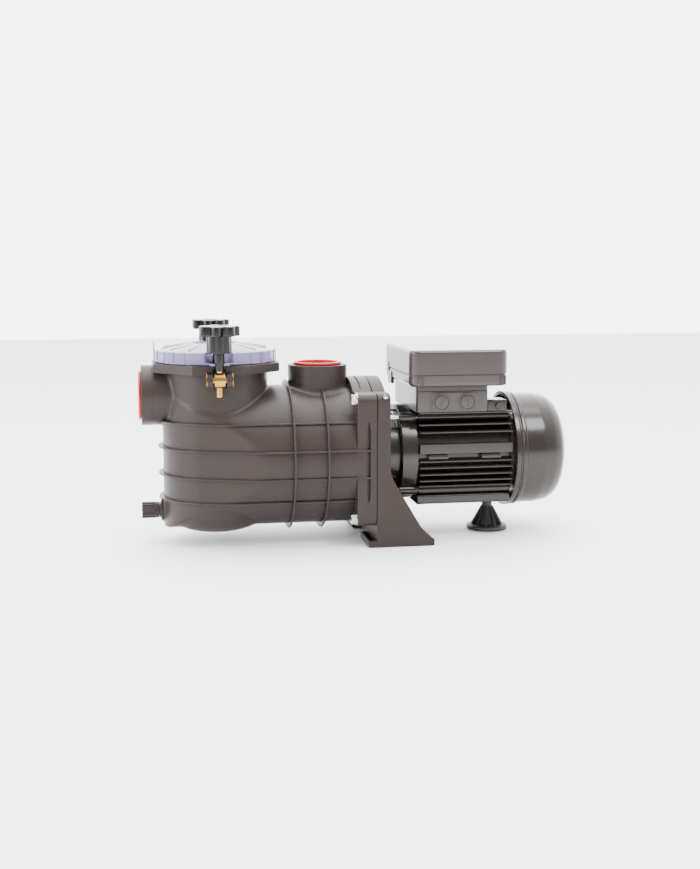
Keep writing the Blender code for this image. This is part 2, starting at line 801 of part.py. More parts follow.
def stator_frame(material):
    """Finned tube with a flat deck for the terminal box and a skirt underneath."""
    tube = cylinder("X", (0, 0, SHAFT_Z), FRAME_TUBE, FRAME_LEFT, FRAME_RIGHT, FINE)
    for rise in FIN_HEIGHTS:
        reach = min(FIN_REACH, sqrt(FIN_CIRCLE**2 - rise**2))
        height = SHAFT_Z + rise
        low = (FRAME_LEFT, -reach, height - FIN / 2)
        join(tube, box(low, (FRAME_RIGHT, reach, height + FIN / 2)))
    join(
        tube,
        box((FRAME_LEFT, -FIN_REACH, SHAFT_Z + 0.004), (FRAME_RIGHT, FIN_REACH, SHAFT_Z + 0.017)),
        box((FRAME_LEFT, -0.058, DECK_LOW), (FRAME_RIGHT, 0.058, DECK_TOP)),
        box((FRAME_LEFT, -0.012, 0.150), (FRAME_RIGHT, 0.012, DECK_TOP)),
        box((FRAME_LEFT, -SKIRT_HALF_Y, SKIRT_LOW), (FRAME_RIGHT, SKIRT_HALF_Y, SKIRT_TOP)),
        box((FRAME_LEFT, -0.030, SKIRT_LOW), (FRAME_RIGHT, 0.030, 0.0600)),
    )
    cut(
        tube,
        cylinder("X", (0, 0, SHAFT_Z), FRAME_BORE, 0.0, 0.200, FINE),
        cylinder("Z", (REAR_FOOT_X, 0, 0), SUPPORT_BORE, 0.030, SUPPORT_STUD_TOP + 0.001, COARSE),
    )
    return part("stator_frame", tube, material)


def motor_inside(steel, copper, dark):
    core = [(0.0332, 0.0450), (0.0502, 0.0450), (0.0502, 0.1300), (0.0332, 0.1300)]
    part("stator_core", turned("X", (0, 0, SHAFT_Z), core, HIDDEN), steel)
    ends = {"front_winding": (0.0310, 0.0447), "rear_winding": (0.1303, 0.1440)}
    for name, (left, right) in ends.items():
        ring = [(0.0350, left), (0.0480, left), (0.0480, right), (0.0350, right)]
        part(name, turned("X", (0, 0, SHAFT_Z), ring, HIDDEN), copper)
    rotor = [(0.0083, 0.0460), (0.0320, 0.0460), (0.0320, 0.1290), (0.0083, 0.1290)]
    part("rotor_core", turned("X", (0, 0, SHAFT_Z), rotor, HIDDEN), dark)


def shaft(material):
    profile = [
        (0, -0.0960),
        (0.0050, -0.0960),
        (0.0050, -0.0838),
        (0.0070, -0.0838),
        (0.0070, 0.0030),
        (0.0075, 0.0030),
        (0.0075, 0.0200),
        (0.0080, 0.0200),
        (0.0080, 0.1480),
        (0.0075, 0.1480),
        (0.0075, 0.1640),
        (0.0070, 0.1640),
        (0.0070, 0.1980),
        (0, 0.1980),
    ]
    return part("shaft", turned("X", (0, 0, SHAFT_Z), profile, COARSE), material)


def bearings(material):
    for name, (left, right) in zip(("front_bearing", "rear_bearing"), BEARING_SEATS):
        ring = [
            (0.0080, left),
            (BEARING_RADIUS, left),
            (BEARING_RADIUS, right),
            (0.0080, right),
        ]
        part(name, turned("X", (0, 0, SHAFT_Z), ring, HIDDEN), material)


def slinger(material):
    ring = [(0.0073, -0.0090), (0.0140, -0.0090), (0.0140, -0.0060), (0.0073, -0.0060)]
    return part("slinger", turned("X", (0, 0, SHAFT_Z), ring, COARSE), material)


def cooling_fan(material):
    profile = [
        (0.0073, 0.1700),
        (0.0500, 0.1700),
        (0.0500, 0.1725),
        (0.0120, 0.1740),
        (0.0120, 0.1920),
        (0.0073, 0.1920),
    ]
    fan = turned("X", (0, 0, SHAFT_Z), profile, HIDDEN)
    for i in range(8):
        blade = box((0.1715, -0.0011, 0.0100), (0.1920, 0.0011, 0.0590))
        blade.location = (0, 0, SHAFT_Z)
        blade.rotation_euler = (tau * i / 8, 0, 0)
        join(fan, blade)
    return part("cooling_fan", fan, material)


def fan_cover(material):
    """Domed cowl with a lip at its mouth and slots in its end for the air."""
    outer = [
        (0.0745, COVER_LIP),
        (0.0745, 0.1640),
        (0.0718, 0.1650),
        (0.0718, 0.1890),
        (0.0695, 0.2042),
        (0.0640, 0.2142),
        (0.0530, 0.2200),
        (0.0410, 0.2238),
        (0, COVER_END),
    ]
    wall = 0.0020
    inner = [(0, COVER_END - wall)] + [(r - wall, x - 0.0012) for r, x in outer[-2:0:-1]]
    inner += [(0.0745 - wall, COVER_LIP)]
    cowl = turned("X", (0, 0, SHAFT_Z), outer + inner, FINE)
    for i in range(8):
        slot = box((0.2150, -0.0016, 0.0120), (0.2450, 0.0016, 0.0380))
        slot.location = (0, 0, SHAFT_Z)
        slot.rotation_euler = (tau * (i + 0.5) / 8, 0, 0)
        cut(cowl, slot)
    return part("fan_cover", cowl, material)


def tie_bolts(material):
    for i, (y, rise) in enumerate(TIE_BOLTS):
        height = SHAFT_Z + rise
        head = plate("X", hexagon((y, height), 0.0050), REAR_RIGHT - 0.001 + FIT, 0.1665)
        shank = cylinder("X", (0, y, height), 0.0030, -0.0205, REAR_RIGHT + 0.001, 8)
        part(f"tie_bolt_{i + 1}", join(head, shank), material)


# Terminal box.


def box_outline(inset, corner=BOX_CORNER):
    low = (BOX_LEFT + inset, -BOX_HALF_Y + inset)
    high = (BOX_RIGHT - inset, BOX_HALF_Y - inset)
    return rounded_rectangle(low, high, max(corner - inset, 0.002), 3)


def terminal_neck(material):
    low, high = (NECK_LEFT, -NECK_HALF_Y), (NECK_RIGHT, NECK_HALF_Y)
    neck = plate("Z", rounded_rectangle(low, high, 0.004, 2), NECK_LOW, NECK_TOP)
    wall = 0.0035
    cut(
        neck,
        box(
            (NECK_LEFT + wall, -NECK_HALF_Y + wall, 0.150),
            (NECK_RIGHT - wall, NECK_HALF_Y - wall, 0.210),
        ),
        cylinder("X", (0, 0, SHAFT_Z), SHIELD_RING + 0.0005, 0.0, SHIELD_RIGHT + 0.0005, FINE),
    )
    seat = SEAT_DEPTH - NECK_HALF_Y
    for x in GLAND_PLACES:
        cut(neck, cylinder("Y", (x, 0, GLAND_Z), 0.0072, -0.080, -0.050, COARSE))
        cut(neck, cylinder("Y", (x, 0, GLAND_Z), PLUG_RADIUS + SEAT_GAP, -0.090, seat, COARSE))
    return part("terminal_neck", neck, material)


def blind_plugs(material):
    end = -NECK_HALF_Y - 0.0033
    for i, x in enumerate(GLAND_PLACES):
        flange = -NECK_HALF_Y + SEAT_DEPTH - FIT
        plug = cylinder("Y", (x, 0, GLAND_Z), PLUG_RADIUS, end, flange, COARSE)
        join(plug, cylinder("Y", (x, 0, GLAND_Z), 0.0068, end + 0.001, -0.0560, COARSE))
        low = (x - 0.0060, end - 0.001, GLAND_Z - 0.0009)
        slot = box(low, (x + 0.0060, end + 0.001, GLAND_Z + 0.0009))
        part(f"blind_plug_{i + 1}", cut(plug, slot), material)


def terminal_box(plastic, rubber, grey, block_material):
    tray = plate("Z", box_outline(0.0), TRAY_LOW, TRAY_TOP)
    pocket = plate("Z", box_outline(0.0030), TRAY_LOW + 0.0030, 0.220)
    passage = box((0.040, -0.020, 0.180), (0.095, 0.020, 0.205))
    part("terminal_tray", cut(tray, pocket, passage), plastic)
    gasket = plate("Z", box_outline(0.0006), TRAY_TOP + FIT, COVER_LOW - FIT)
    part("terminal_gasket", cut(gasket, plate("Z", box_outline(0.0028), 0.200, 0.220)), rubber)
    cover = bevel(plate("Z", box_outline(0.0), COVER_LOW - 0.010, COVER_TOP), 0.0040, 2)
    below = box((BOX_LEFT - 0.010, -BOX_HALF_Y - 0.010, 0.190), (BOX_RIGHT + 0.010, 0.090, COVER_LOW))
    inside = plate("Z", box_outline(0.0028), 0.195, COVER_TOP - 0.0028)
    part("terminal_cover", cut(cover, below, inside), plastic)
    can = cylinder("X", (0, 0.045, 0.2205), 0.0150, 0.025, 0.105, HIDDEN)
    part("run_capacitor", can, grey)
    block = box((0.055, -0.050, TRAY_LOW + 0.0033), (0.095, -0.026, 0.2160))
    for i in range(4):
        channel = box((0.0575 + 0.0095 * i, -0.060, 0.2100), (0.0630 + 0.0095 * i, -0.020, 0.2200))
        cut(block, channel)
    part("terminal_block", block, block_material)


# Rear support.


def rear_support(rubber, steel):
    profile = [
        (0, 0),
        (REAR_FOOT_RADIUS, 0),
        (REAR_FOOT_RADIUS, 0.0045),
        (0.0200, 0.0065),
        (0.0080, 0.0300),
        (0.0080, REAR_FOOT_TOP),
        (0, REAR_FOOT_TOP),
    ]
    foot = turned("Z", (REAR_FOOT_X, 0, 0), profile, MEDIUM)
    centre = (REAR_FOOT_X, 0, 0)
    cut(foot, cylinder("Z", centre, SUPPORT_BORE, SUPPORT_STUD_LOW - FIT, REAR_FOOT_TOP + 0.002, COARSE))
    part("rear_foot", foot, rubber)
    stud = cylinder("Z", centre, SUPPORT_STUD, SUPPORT_STUD_LOW, SUPPORT_STUD_TOP, COARSE)
    part("foot_stud", stud, steel)


def build():
    clear_scene()
    casing = make_material("casing_plastic", (0.118, 0.098, 0.094), 0.50)
    bracket = make_material("bracket_plastic", (0.110, 0.094, 0.090), 0.55)
    clear = make_material("lid_plastic", (0.72, 0.70, 0.86), 0.08, 0.0, 0.35)
    black = make_material("black_plastic", (0.020, 0.018, 0.018), 0.30)
    grey_box = make_material("box_plastic", (0.060, 0.052, 0.052), 0.28)
    paint = make_material("motor_paint", (0.028, 0.024, 0.022), 0.28, 0.2)
    red = make_material("red_plastic", (0.62, 0.030, 0.020), 0.35)
    white = make_material("white_plastic", (0.80, 0.80, 0.78), 0.40)
    rubber = make_material("rubber", (0.020, 0.020, 0.020), 0.75)
    steel = make_material("steel", (0.62, 0.61, 0.60), 0.25, 1.0)
    brass = make_material("brass", (0.72, 0.50, 0.20), 0.30, 1.0)
    copper = make_material("copper", (0.60, 0.28, 0.12), 0.45, 1.0)
    lamination = make_material("lamination", (0.20, 0.20, 0.21), 0.50, 1.0)
    ceramic = make_material("ceramic", (0.85, 0.84, 0.80), 0.20)
    alloy = make_material("alloy", (0.55, 0.55, 0.56), 0.40, 1.0)

    pump_body(casing)
    strainer_lid(clear)
    lid_seal(rubber)
    strainer_basket(white)
    port_cap("suction_cap", red, "X", (SUCTION_FACE, 0, SUCTION_Z), -1)
    port_cap("discharge_cap", red, "Z", (DISCHARGE_X, 0, DISCHARGE_FACE), 1)
    drain_plug(casing, rubber)
    clamp("front", -1, brass, black)
    clamp("rear", 1, brass, black)
    diffuser(black)
    impeller(black)
    impeller_nut(steel)
    shaft_seal(black, ceramic, steel, rubber)
    casing_bolts(steel)
    motor_bracket(bracket)
    front_endshield(paint)
    stator_frame(paint)
    motor_inside(lamination, copper, lamination)
    shaft(steel)
    bearings(steel)
    slinger(rubber)
    rear_endshield(alloy)
    cooling_fan(black)
    fan_cover(paint)
    tie_bolts(steel)
    terminal_neck(grey_box)
    blind_plugs(black)
    terminal_box(grey_box, rubber, alloy, white)
    rear_support(rubber, steel)


build()
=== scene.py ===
"""Looks of the pool pump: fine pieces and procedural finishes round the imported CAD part.

Frame: metres, +Z up. +X runs along the shaft from the suction port to the fan.
Each piece rides on the CAD body of the first node that it stands for.
"""

import json
from math import asin, cos, degrees, hypot, pi, radians, sin, sqrt, tan, tau

import bmesh
import bpy
import numpy as np
from mathutils import Matrix, Vector


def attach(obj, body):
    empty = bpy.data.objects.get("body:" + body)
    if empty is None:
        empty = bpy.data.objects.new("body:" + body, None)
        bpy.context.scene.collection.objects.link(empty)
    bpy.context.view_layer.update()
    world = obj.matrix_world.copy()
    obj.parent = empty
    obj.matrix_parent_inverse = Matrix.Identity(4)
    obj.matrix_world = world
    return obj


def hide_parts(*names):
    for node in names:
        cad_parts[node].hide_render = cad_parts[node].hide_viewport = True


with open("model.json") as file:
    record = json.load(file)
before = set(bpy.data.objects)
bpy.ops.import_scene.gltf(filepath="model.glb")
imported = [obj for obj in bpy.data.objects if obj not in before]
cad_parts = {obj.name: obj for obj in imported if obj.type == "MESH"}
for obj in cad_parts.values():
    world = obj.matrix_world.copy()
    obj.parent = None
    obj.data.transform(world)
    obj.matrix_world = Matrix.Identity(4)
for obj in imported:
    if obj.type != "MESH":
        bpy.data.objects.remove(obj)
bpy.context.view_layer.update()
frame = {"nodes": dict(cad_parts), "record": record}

# Front and rear: the sign of y and the word in the pieces' names.
SIDES = ((-1, "front"), (1, "rear"))

# Shaft line, pot and casing.
SHAFT_Z = 0.1063
SHAFT_CENTRE = (0, 0, SHAFT_Z)
POT_X = -0.221
POT_CENTRE = (POT_X, 0, 0)
POT_RADIUS = 0.065
POT_BORE = 0.060
POT_PLAN = 0.066
FLARE = radians(19)
DOME_TOP = 0.047
DOME_DEPTH = 0.0343
DOME_POWER = 2.6
BARREL_RADIUS = 0.088
BARREL_END = -0.0504
CHAMBER_LEFT = -0.150
CHAMBER_RADIUS = 0.082
CHAMBER_RIGHT = -0.0435
CHAMBER_MOUTH = 0.078
MOUTH_LEFT = -0.056
RIM_LOW = 0.2145
RIM_TOP = 0.2257
RIM_APOTHEM = 0.077
RIB_HALF = 0.00125
RIB_REACH = 0.0046
RIB_TIP = 0.0075
RIB_END = -0.0392
RIB_HEIGHTS = (0.057, 0.087, 0.121, 0.154)
HOOP_PLACES = (-0.132, -0.091)
HOOP_RADIUS = 0.0945
SKIN_STEP = 0.0018

# Flange and bracket.
FLANGE_LEFT = -0.0555
FLANGE_RIGHT = -0.0314
FLANGE_HALF_Y = 0.0875
FLANGE_LOW = 0.026
FLANGE_TOP = 0.1895
HUMP_RADIUS = 0.0975
SLOT_LEFT = -0.0437
SLOT_RIGHT = -0.0396
SLOT_LOW = 0.055
SLOT_HIGH = 0.157
BRACKET_LEFT = -0.0311
BRACKET_RIGHT = -0.0145
FOOT_HALF_X = 0.0417
FOOT_THICKNESS = 0.008
FOOT_HOLE = (0.024, 0.058)
FOOT_HOLE_RADIUS = 0.0048
BRACKET_EDGE = 0.0008
CHEEK_TOP = 0.156
CASING_BOLTS = ((-0.078, 0.183), (0.078, 0.183), (-0.078, 0.035), (0.078, 0.035))
TIE_BOLTS = ((-0.041, 0.0485), (0.041, 0.0485), (-0.046, -0.0435), (0.046, -0.0435))

# Ports.
PORT_RADIUS = 0.0371
PORT_BORE = 0.02835
SUCTION_Z = 0.1845
SUCTION_FACE = -0.3127
DISCHARGE_X = -0.092
DISCHARGE_FACE = 0.2200
COLLAR_DEPTH = 0.014
SUCTION_BORE_END = -0.270
DISCHARGE_BORE_END = 0.160
DRAIN_Z = 0.0395
DRAIN_BORE = 0.0067
DRAIN_HEAD = 0.0103

# Lid clamps.
STUD_Y = 0.0810
STUD_TIP = 0.1890
STUD_TOP = 0.2580
STUD_BORE = 0.0043
THREAD_TURNS = 24
PIVOT_Z = 0.2090
SWIVEL_RADIUS = 0.0098
SWIVEL_HALF = 0.00615
CLEVIS_GAP = 0.0080
CLEVIS_HALF = 0.0152

# Lid.
LID_RADIUS = 0.0752
LID_LOW = 0.2265
LID_SHOULDER = 0.2405
LID_CROWN = 0.2500
LID_SLOT_HALF = 0.0052
LID_FINS = 28

# Motor and terminal box.
FRAME_LEFT = 0.0276
FRAME_RIGHT = 0.1484
FIN_HALF = 0.00125
FIN_HEIGHTS = (0.040, 0.031, -0.0055, -0.0135, -0.022, -0.030, -0.0375)
BOX_LEFT = 0.0114
BOX_RIGHT = 0.1362
BOX_HALF_Y = 0.0780
NECK_LEFT = 0.0225
NECK_RIGHT = 0.1140
NECK_HALF_Y = 0.0660
PLUG_PLACES = (0.0534, 0.0862)
PLUG_Z = 0.1760
REAR_FOOT_X = 0.1333
COWL_SLOTS = 8
SUPPORT_FINS = 10

# Studio: the surroundings brighten from one y direction to the other.
FRONT_LIGHT = 0.70
FRONT_REACH = -0.9
BACK_LIGHT = 6.5
BACK_REACH = 0.5
LAMP_AIM = (-0.04, 0, 0.12)
CAMERA_PLACE = (-0.32165, -1.53901, 0.35251)
CAMERA_AIM = (-0.04978, 0, 0.12870)
LENS_LENGTH = 51.01
SENSOR_WIDTH = 36

CASING_NODES = ("pump_casing", "strainer_pot", "suction_port", "discharge_port")

BODY_OF = {
    node: body
    for body, nodes in frame["record"]["behaviour"]["bodies"].items()
    for node in nodes
}
SLOT_OF = {row["node"]: row["material_slot"] for row in frame["record"]["subparts"]}


# Finishes.


def finish(name, colour, roughness, metallic=0.0, shine=0.5, mottle=0.06, grain=0.00003, size=700.0):
    """A coloured surface with soft mottling and a fine moulded or cast grain."""
    material = bpy.data.materials.new(name)
    material.use_nodes = True
    nodes, links = material.node_tree.nodes, material.node_tree.links
    shader = nodes["Principled BSDF"]
    shader.inputs["Roughness"].default_value = roughness
    shader.inputs["Metallic"].default_value = metallic
    shader.inputs["Specular IOR Level"].default_value = shine
    coordinates = nodes.new("ShaderNodeTexCoord")
    clouds = nodes.new("ShaderNodeTexNoise")
    clouds.inputs["Scale"].default_value = size / 12
    clouds.inputs["Detail"].default_value = 3.0
    ramp = nodes.new("ShaderNodeValToRGB")
    ramp.color_ramp.elements[0].color = (*[c * (1 - mottle) for c in colour], 1)
    ramp.color_ramp.elements[1].color = (*[min(1, c * (1 + mottle)) for c in colour], 1)
    grains = nodes.new("ShaderNodeTexNoise")
    grains.inputs["Scale"].default_value = size
    bump = nodes.new("ShaderNodeBump")
    bump.inputs["Distance"].default_value = grain
    links.new(coordinates.outputs["Object"], clouds.inputs["Vector"])
    links.new(coordinates.outputs["Object"], grains.inputs["Vector"])
    links.new(clouds.outputs["Fac"], ramp.inputs["Fac"])
    links.new(ramp.outputs["Color"], shader.inputs["Base Color"])
    links.new(grains.outputs["Fac"], bump.inputs["Height"])
    links.new(bump.outputs["Normal"], shader.inputs["Normal"])
    return material


def clear_plastic(name, colour):
    """A smooth surface that lets part of the light through."""
    material = finish(name, colour, 0.10, mottle=0.02, grain=0.00001)
    shader = material.node_tree.nodes["Principled BSDF"]
    shader.inputs["Transmission Weight"].default_value = 0.62
    shader.inputs["IOR"].default_value = 1.40
    return material


FINISHES = {
    "casing_plastic": finish("casing_plastic", (0.026, 0.0195, 0.0182), 0.36, shine=0.17),
    "bracket_plastic": finish("bracket_plastic", (0.026, 0.0195, 0.0182), 0.42, shine=0.17),
    "lid_plastic": clear_plastic("lid_plastic", (0.34, 0.30, 0.50)),
    "black_plastic": finish("black_plastic", (0.004, 0.0037, 0.0037), 0.14, shine=0.35),
    "box_plastic": finish("box_plastic", (0.032, 0.0245, 0.0245), 0.15, shine=0.45),
    "motor_paint": finish("motor_paint", (0.014, 0.0108, 0.0094), 0.20, shine=0.4),
    "red_plastic": finish("red_plastic", (0.42, 0.010, 0.012), 0.32, shine=0.3),
    "white_plastic": finish("white_plastic", (0.78, 0.78, 0.80), 0.40),
    "rubber": finish("rubber", (0.020, 0.020, 0.021), 0.55, mottle=0.15),
    "steel": finish("steel", (0.52, 0.51, 0.50), 0.20, metallic=1.0),
    "brass": finish("brass", (0.42, 0.25, 0.065), 0.26, metallic=1.0),
    "copper": finish("copper", (0.62, 0.28, 0.13), 0.40, metallic=1.0),
    "lamination": finish("lamination", (0.22, 0.22, 0.23), 0.45, metallic=1.0),
    "ceramic": finish("ceramic", (0.85, 0.84, 0.80), 0.20),
    "alloy": finish("alloy", (0.52, 0.52, 0.53), 0.38, metallic=1.0),
}


# Shapes. Each returns a loose object that show() finishes or combine() uses.


def as_object(shape):
    """Puts a finished bmesh into the scene with its faces turned outwards."""
    bmesh.ops.recalc_face_normals(shape, faces=shape.faces)
    mesh = bpy.data.meshes.new("shape")
    shape.to_mesh(mesh)
    shape.free()
    obj = bpy.data.objects.new("shape", mesh)
    bpy.context.scene.collection.objects.link(obj)
    return obj


def place(axis, u, v, along):
    """The point at (u, v) across an axis and at a distance along it."""
    return {"X": (along, u, v), "Y": (u, along, v), "Z": (u, v, along)}[axis]


def turned(axis, centre, profile, segments=96):
    """A solid of revolution from closed (radius, height) points about an axis."""
    shape = bmesh.new()
    rings = []
    for i in range(segments):
        across = (cos(tau * i / segments), sin(tau * i / segments))
        points = [Vector(place(axis, r * across[0], r * across[1], h)) for r, h in profile]
        rings.append([shape.verts.new(Vector(centre) + point) for point in points])
    count = len(profile)
    for ring, following in zip(rings, rings[1:] + rings[:1]):
        for j in range(count):
            k = (j + 1) % count
            if profile[j][0] or profile[k][0]:
                shape.faces.new((ring[j], ring[k], following[k], following[j]))
    bmesh.ops.remove_doubles(shape, verts=shape.verts, dist=0.000001)
    return as_object(shape)


def rod(axis, centre, radius, low, high, edge=0.0004, segments=48):
    """A round bar with rounded ends, low and high measured from the centre."""
    corners = [(0, low), (radius, low), (radius, high), (0, high)]
    return turned(axis, centre, fillet(corners, edge, 2), segments)


def prism(axis, outline, low, high, edge=0.0, steps=3):
    """An outline across an axis, filled from low to high, with rounded rims."""
    shape = bmesh.new()
    bottom = [shape.verts.new(place(axis, u, v, low)) for u, v in outline]
    top = [shape.verts.new(place(axis, u, v, high)) for u, v in outline]
    for i in range(len(outline)):
        shape.faces.new((bottom[i - 1], bottom[i], top[i], top[i - 1]))
    caps = [shape.faces.new(bottom), shape.faces.new(top)]
    bmesh.ops.recalc_face_normals(shape, faces=shape.faces)
    if edge:
        rims = [e for cap in caps for e in cap.edges]
        round_edges(shape, rims, edge, steps)
    return as_object(shape)


def round_edges(shape, edges, width, steps):
    bmesh.ops.bevel(
        shape, geom=edges, offset=width, segments=steps, profile=0.5, affect="EDGES", clamp_overlap=True
    )


def block(low, high, edge=0.0005, steps=2):
    shape = bmesh.new()
    bmesh.ops.create_cube(shape, size=1.0)
    low, high = Vector(low), Vector(high)
    bmesh.ops.scale(shape, verts=shape.verts, vec=high - low)
    bmesh.ops.translate(shape, verts=shape.verts, vec=(low + high) / 2)
    if edge:
        round_edges(shape, list(shape.edges), edge, steps)
    return as_object(shape)


def on_side(side, near, far):
    """Two distances from the middle plane as rising y values on one side."""
    return sorted((side * near, side * far))


def side_block(low, high, side, edge=0.0005):
    """A block whose y values are mirrored to one side."""
    near, far = on_side(side, low[1], high[1])
    return block((low[0], near, low[2]), (high[0], far, high[2]), edge)


def band(path, section):
    """A strip along an open flat path of (x, y), with a (reach, height) section."""
    shape = bmesh.new()
    points = [Vector(p) for p in path]
    strips = []
    for i, point in enumerate(points):
        before = (point - points[i - 1]).normalized() if i else None
        after = (points[i + 1] - point).normalized() if i + 1 < len(points) else None
        along = ((before or after) + (after or before)).normalized()
        outward = Vector((along.y, -along.x)) / max(0.7, along.dot(after or before))
        strips.append([shape.verts.new((*(point + outward * r), h)) for r, h in section])
    count = len(section)
    for strip, following in zip(strips, strips[1:]):
        for j in range(count):
            k = (j + 1) % count
            shape.faces.new((strip[j], strip[k], following[k], following[j]))
    shape.faces.new(strips[0])
    shape.faces.new(strips[-1])
    return as_object(shape)


def spin(obj, axis, centre, angle):
    """Turns an object made at the origin about an axis and moves it to the centre."""
    obj.data.transform(Matrix.Translation(centre) @ Matrix.Rotation(angle, 4, axis))
    return obj


def bake(obj):
    """Makes what the modifiers show the object's own mesh."""
    bpy.context.view_layer.update()
    graph = bpy.context.evaluated_depsgraph_get()
    mesh = bpy.data.meshes.new_from_object(obj.evaluated_get(graph))
    obj.modifiers.clear()
    obj.data = mesh
    return obj


def combine(operation, obj, tools):
    for tool in tools:
        boolean = obj.modifiers.new("combine", "BOOLEAN")
        boolean.operation = operation
        boolean.object = tool
    bake(obj)
    for tool in tools:
        bpy.data.objects.remove(tool)
    return obj


def join(obj, *tools):
    return combine("UNION", obj, tools)


def cut(obj, *tools):
    return combine("DIFFERENCE", obj, tools)


def show(name, slot, obj, *nodes, body=None, sharp=35):
    """Names a finished piece, gives it its finish and its body, and hides the CAD nodes that it stands
    for.
    """
    obj.name = name
    obj.data.name = name
    obj.data.materials.clear()
    obj.data.materials.append(FINISHES[slot])
    obj.data.shade_smooth()
    obj.data.set_sharp_from_angle(angle=radians(sharp))
    weighted = obj.modifiers.new("weighted", "WEIGHTED_NORMAL")
    weighted.keep_sharp = True
    bake(obj)
    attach(obj, body or BODY_OF[nodes[0]])
    if nodes:
        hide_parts(*nodes)
    return obj


# Outlines.


def fillet(points, radius, steps=4, closed=True):
    """The outline with each corner rounded to at most that radius."""
    points = [Vector(p) for p in points]
    result = []
    for i, corner in enumerate(points):
        before = points[i - 1] - corner
        after = points[(i + 1) % len(points)] - corner
        angle = before.angle(after)
        on_axis = closed and corner.x == 0
        end = not closed and i in (0, len(points) - 1)
        if on_axis or end or angle > radians(175):
            result.append(tuple(corner))
            continue
        reach = min(radius / tan(angle / 2), 0.48 * before.length, 0.48 * after.length)
        real = reach * tan(angle / 2)
        middle = (before.normalized() + after.normalized()).normalized()
        centre = corner + middle * real / sin(angle / 2)
        first = corner + before.normalized() * reach - centre
        last = corner + after.normalized() * reach - centre
        sweep = pi - angle
        for k in range(steps + 1):
            weights = sin(sweep * (1 - k / steps)), sin(sweep * k / steps)
            result.append(tuple(centre + (first * weights[0] + last * weights[1]) / sin(sweep)))
    return result


def arc(centre, radius, start, end, steps):
    angles = [radians(start + (end - start) * i / steps) for i in range(steps + 1)]
    return [(centre[0] + radius * cos(a), centre[1] + radius * sin(a)) for a in angles]


def rectangle(low, high):
    return [low, (high[0], low[1]), high, (low[0], high[1])]


def star(centre, radius, hollow, lobes, steps=12, power=1.5):
    """A grip's outline: round lobes with hollows between them."""
    points = []
    for i in range(lobes * steps):
        angle = tau * i / (lobes * steps)
        reach = radius - hollow * (0.5 - 0.5 * cos(lobes * angle)) ** power
        points.append((centre[0] + reach * cos(angle), centre[1] + reach * sin(angle)))
    return points


def flange_outline(bottom, inset=0.0):
    """The square flange with a round hump on top, in (y, z)."""
    side = FLANGE_HALF_Y - inset
    meet = degrees(asin((FLANGE_TOP - SHAFT_Z) / HUMP_RADIUS))
    hump = arc((0, SHAFT_Z), HUMP_RADIUS, meet, 180 - meet, 24)
    corners = [
        (-side, FLANGE_TOP),
        (-side, bottom),
        (side, bottom),
        (side, FLANGE_TOP),
    ]
    return hump + fillet([hump[-1], *corners, hump[0]], 0.010, 5, closed=False)[1:-1]


def hexagon(centre, radius):
    return arc(centre, radius, 0, 300, 5)


# The casing's skin, from distances to plain solids that flow into each other.


def soft_min(a, b, radius):
    """The nearer of two distances, with a fillet where they meet."""
    blend = np.maximum(radius - np.abs(a - b), 0) / radius
    return np.minimum(a, b) - blend * blend * radius / 4


def soft_max(a, b, radius):
    return -soft_min(-a, -b, radius)


def plan_distance(x, y, inset):
    """Distance to the casing's plan: a half circle with tangents flaring to the barrel."""
    from_pot = x - POT_X
    line = np.abs(y) * cos(FLARE) - from_pot * sin(FLARE)
    beside = from_pot * cos(FLARE) + np.abs(y) * sin(FLARE) > 0
    return np.where(beside, line, np.hypot(from_pot, y)) - (POT_PLAN - inset)


def domed(reach, z, radius, depth):
    """Distance to an upright cylinder whose lower end is a soft dome."""
    sunk = np.maximum(DOME_TOP - z, 0) / depth
    rounded = (reach / radius) ** DOME_POWER + sunk**DOME_POWER
    return radius * (rounded ** (1 / DOME_POWER) - 1)


def casing_field(points):
    """Distance to the hollow casing with both ports and the drain boss."""
    x, y, z = points[..., 0], points[..., 1], points[..., 2]
    from_shaft = np.hypot(y, z - SHAFT_Z)
    from_pot = np.hypot(x - POT_X, y)
    from_port = np.hypot(y, z - SUCTION_Z)
    from_outlet = np.hypot(x - DISCHARGE_X, y)
    barrel = soft_max(from_shaft - BARREL_RADIUS, plan_distance(x, y, 0), 0.003)
    pot = np.maximum(domed(from_pot, z, POT_RADIUS, DOME_DEPTH), z - (RIM_LOW + 0.004))
    outer = soft_min(barrel, pot, 0.002)
    inlet = np.maximum(from_port - PORT_RADIUS, np.maximum(SUCTION_FACE + 0.008 - x, x - POT_X))
    outer = soft_min(outer, inlet, 0.003)
    outlet = np.maximum(from_outlet - PORT_RADIUS, np.maximum(z - DISCHARGE_FACE + 0.008, SHAFT_Z - z))
    outer = soft_min(outer, outlet, 0.006)
    boss = np.maximum(np.hypot(y, z - DRAIN_Z) - 0.0135, np.maximum(-0.2905 - x, x + 0.250))
    outer = soft_min(outer, boss, 0.004)
    outer = np.maximum(outer, x - BARREL_END)
    hollow = domed(from_pot, z, POT_BORE, DOME_DEPTH - 0.006)
    chamber = np.maximum(from_shaft - CHAMBER_RADIUS, np.maximum(CHAMBER_LEFT - x, x - CHAMBER_RIGHT))
    mouth = np.maximum(from_shaft - CHAMBER_MOUTH, MOUTH_LEFT - x)
    hollow = np.minimum(hollow, np.minimum(chamber, mouth))
    hollow = np.minimum(hollow, np.maximum(from_port - PORT_BORE, x - SUCTION_BORE_END))
    hollow = np.minimum(hollow, np.maximum(from_outlet - PORT_BORE, DISCHARGE_BORE_END - z))
    return np.maximum(outer, -hollow)


def slope(field, points, reach=0.0001):
    """The field's gradient at each point."""
    steps = [np.eye(3)[axis] * reach for axis in range(3)]
    return np.stack([(field(points + s) - field(points - s)) / (2 * reach) for s in steps], -1)


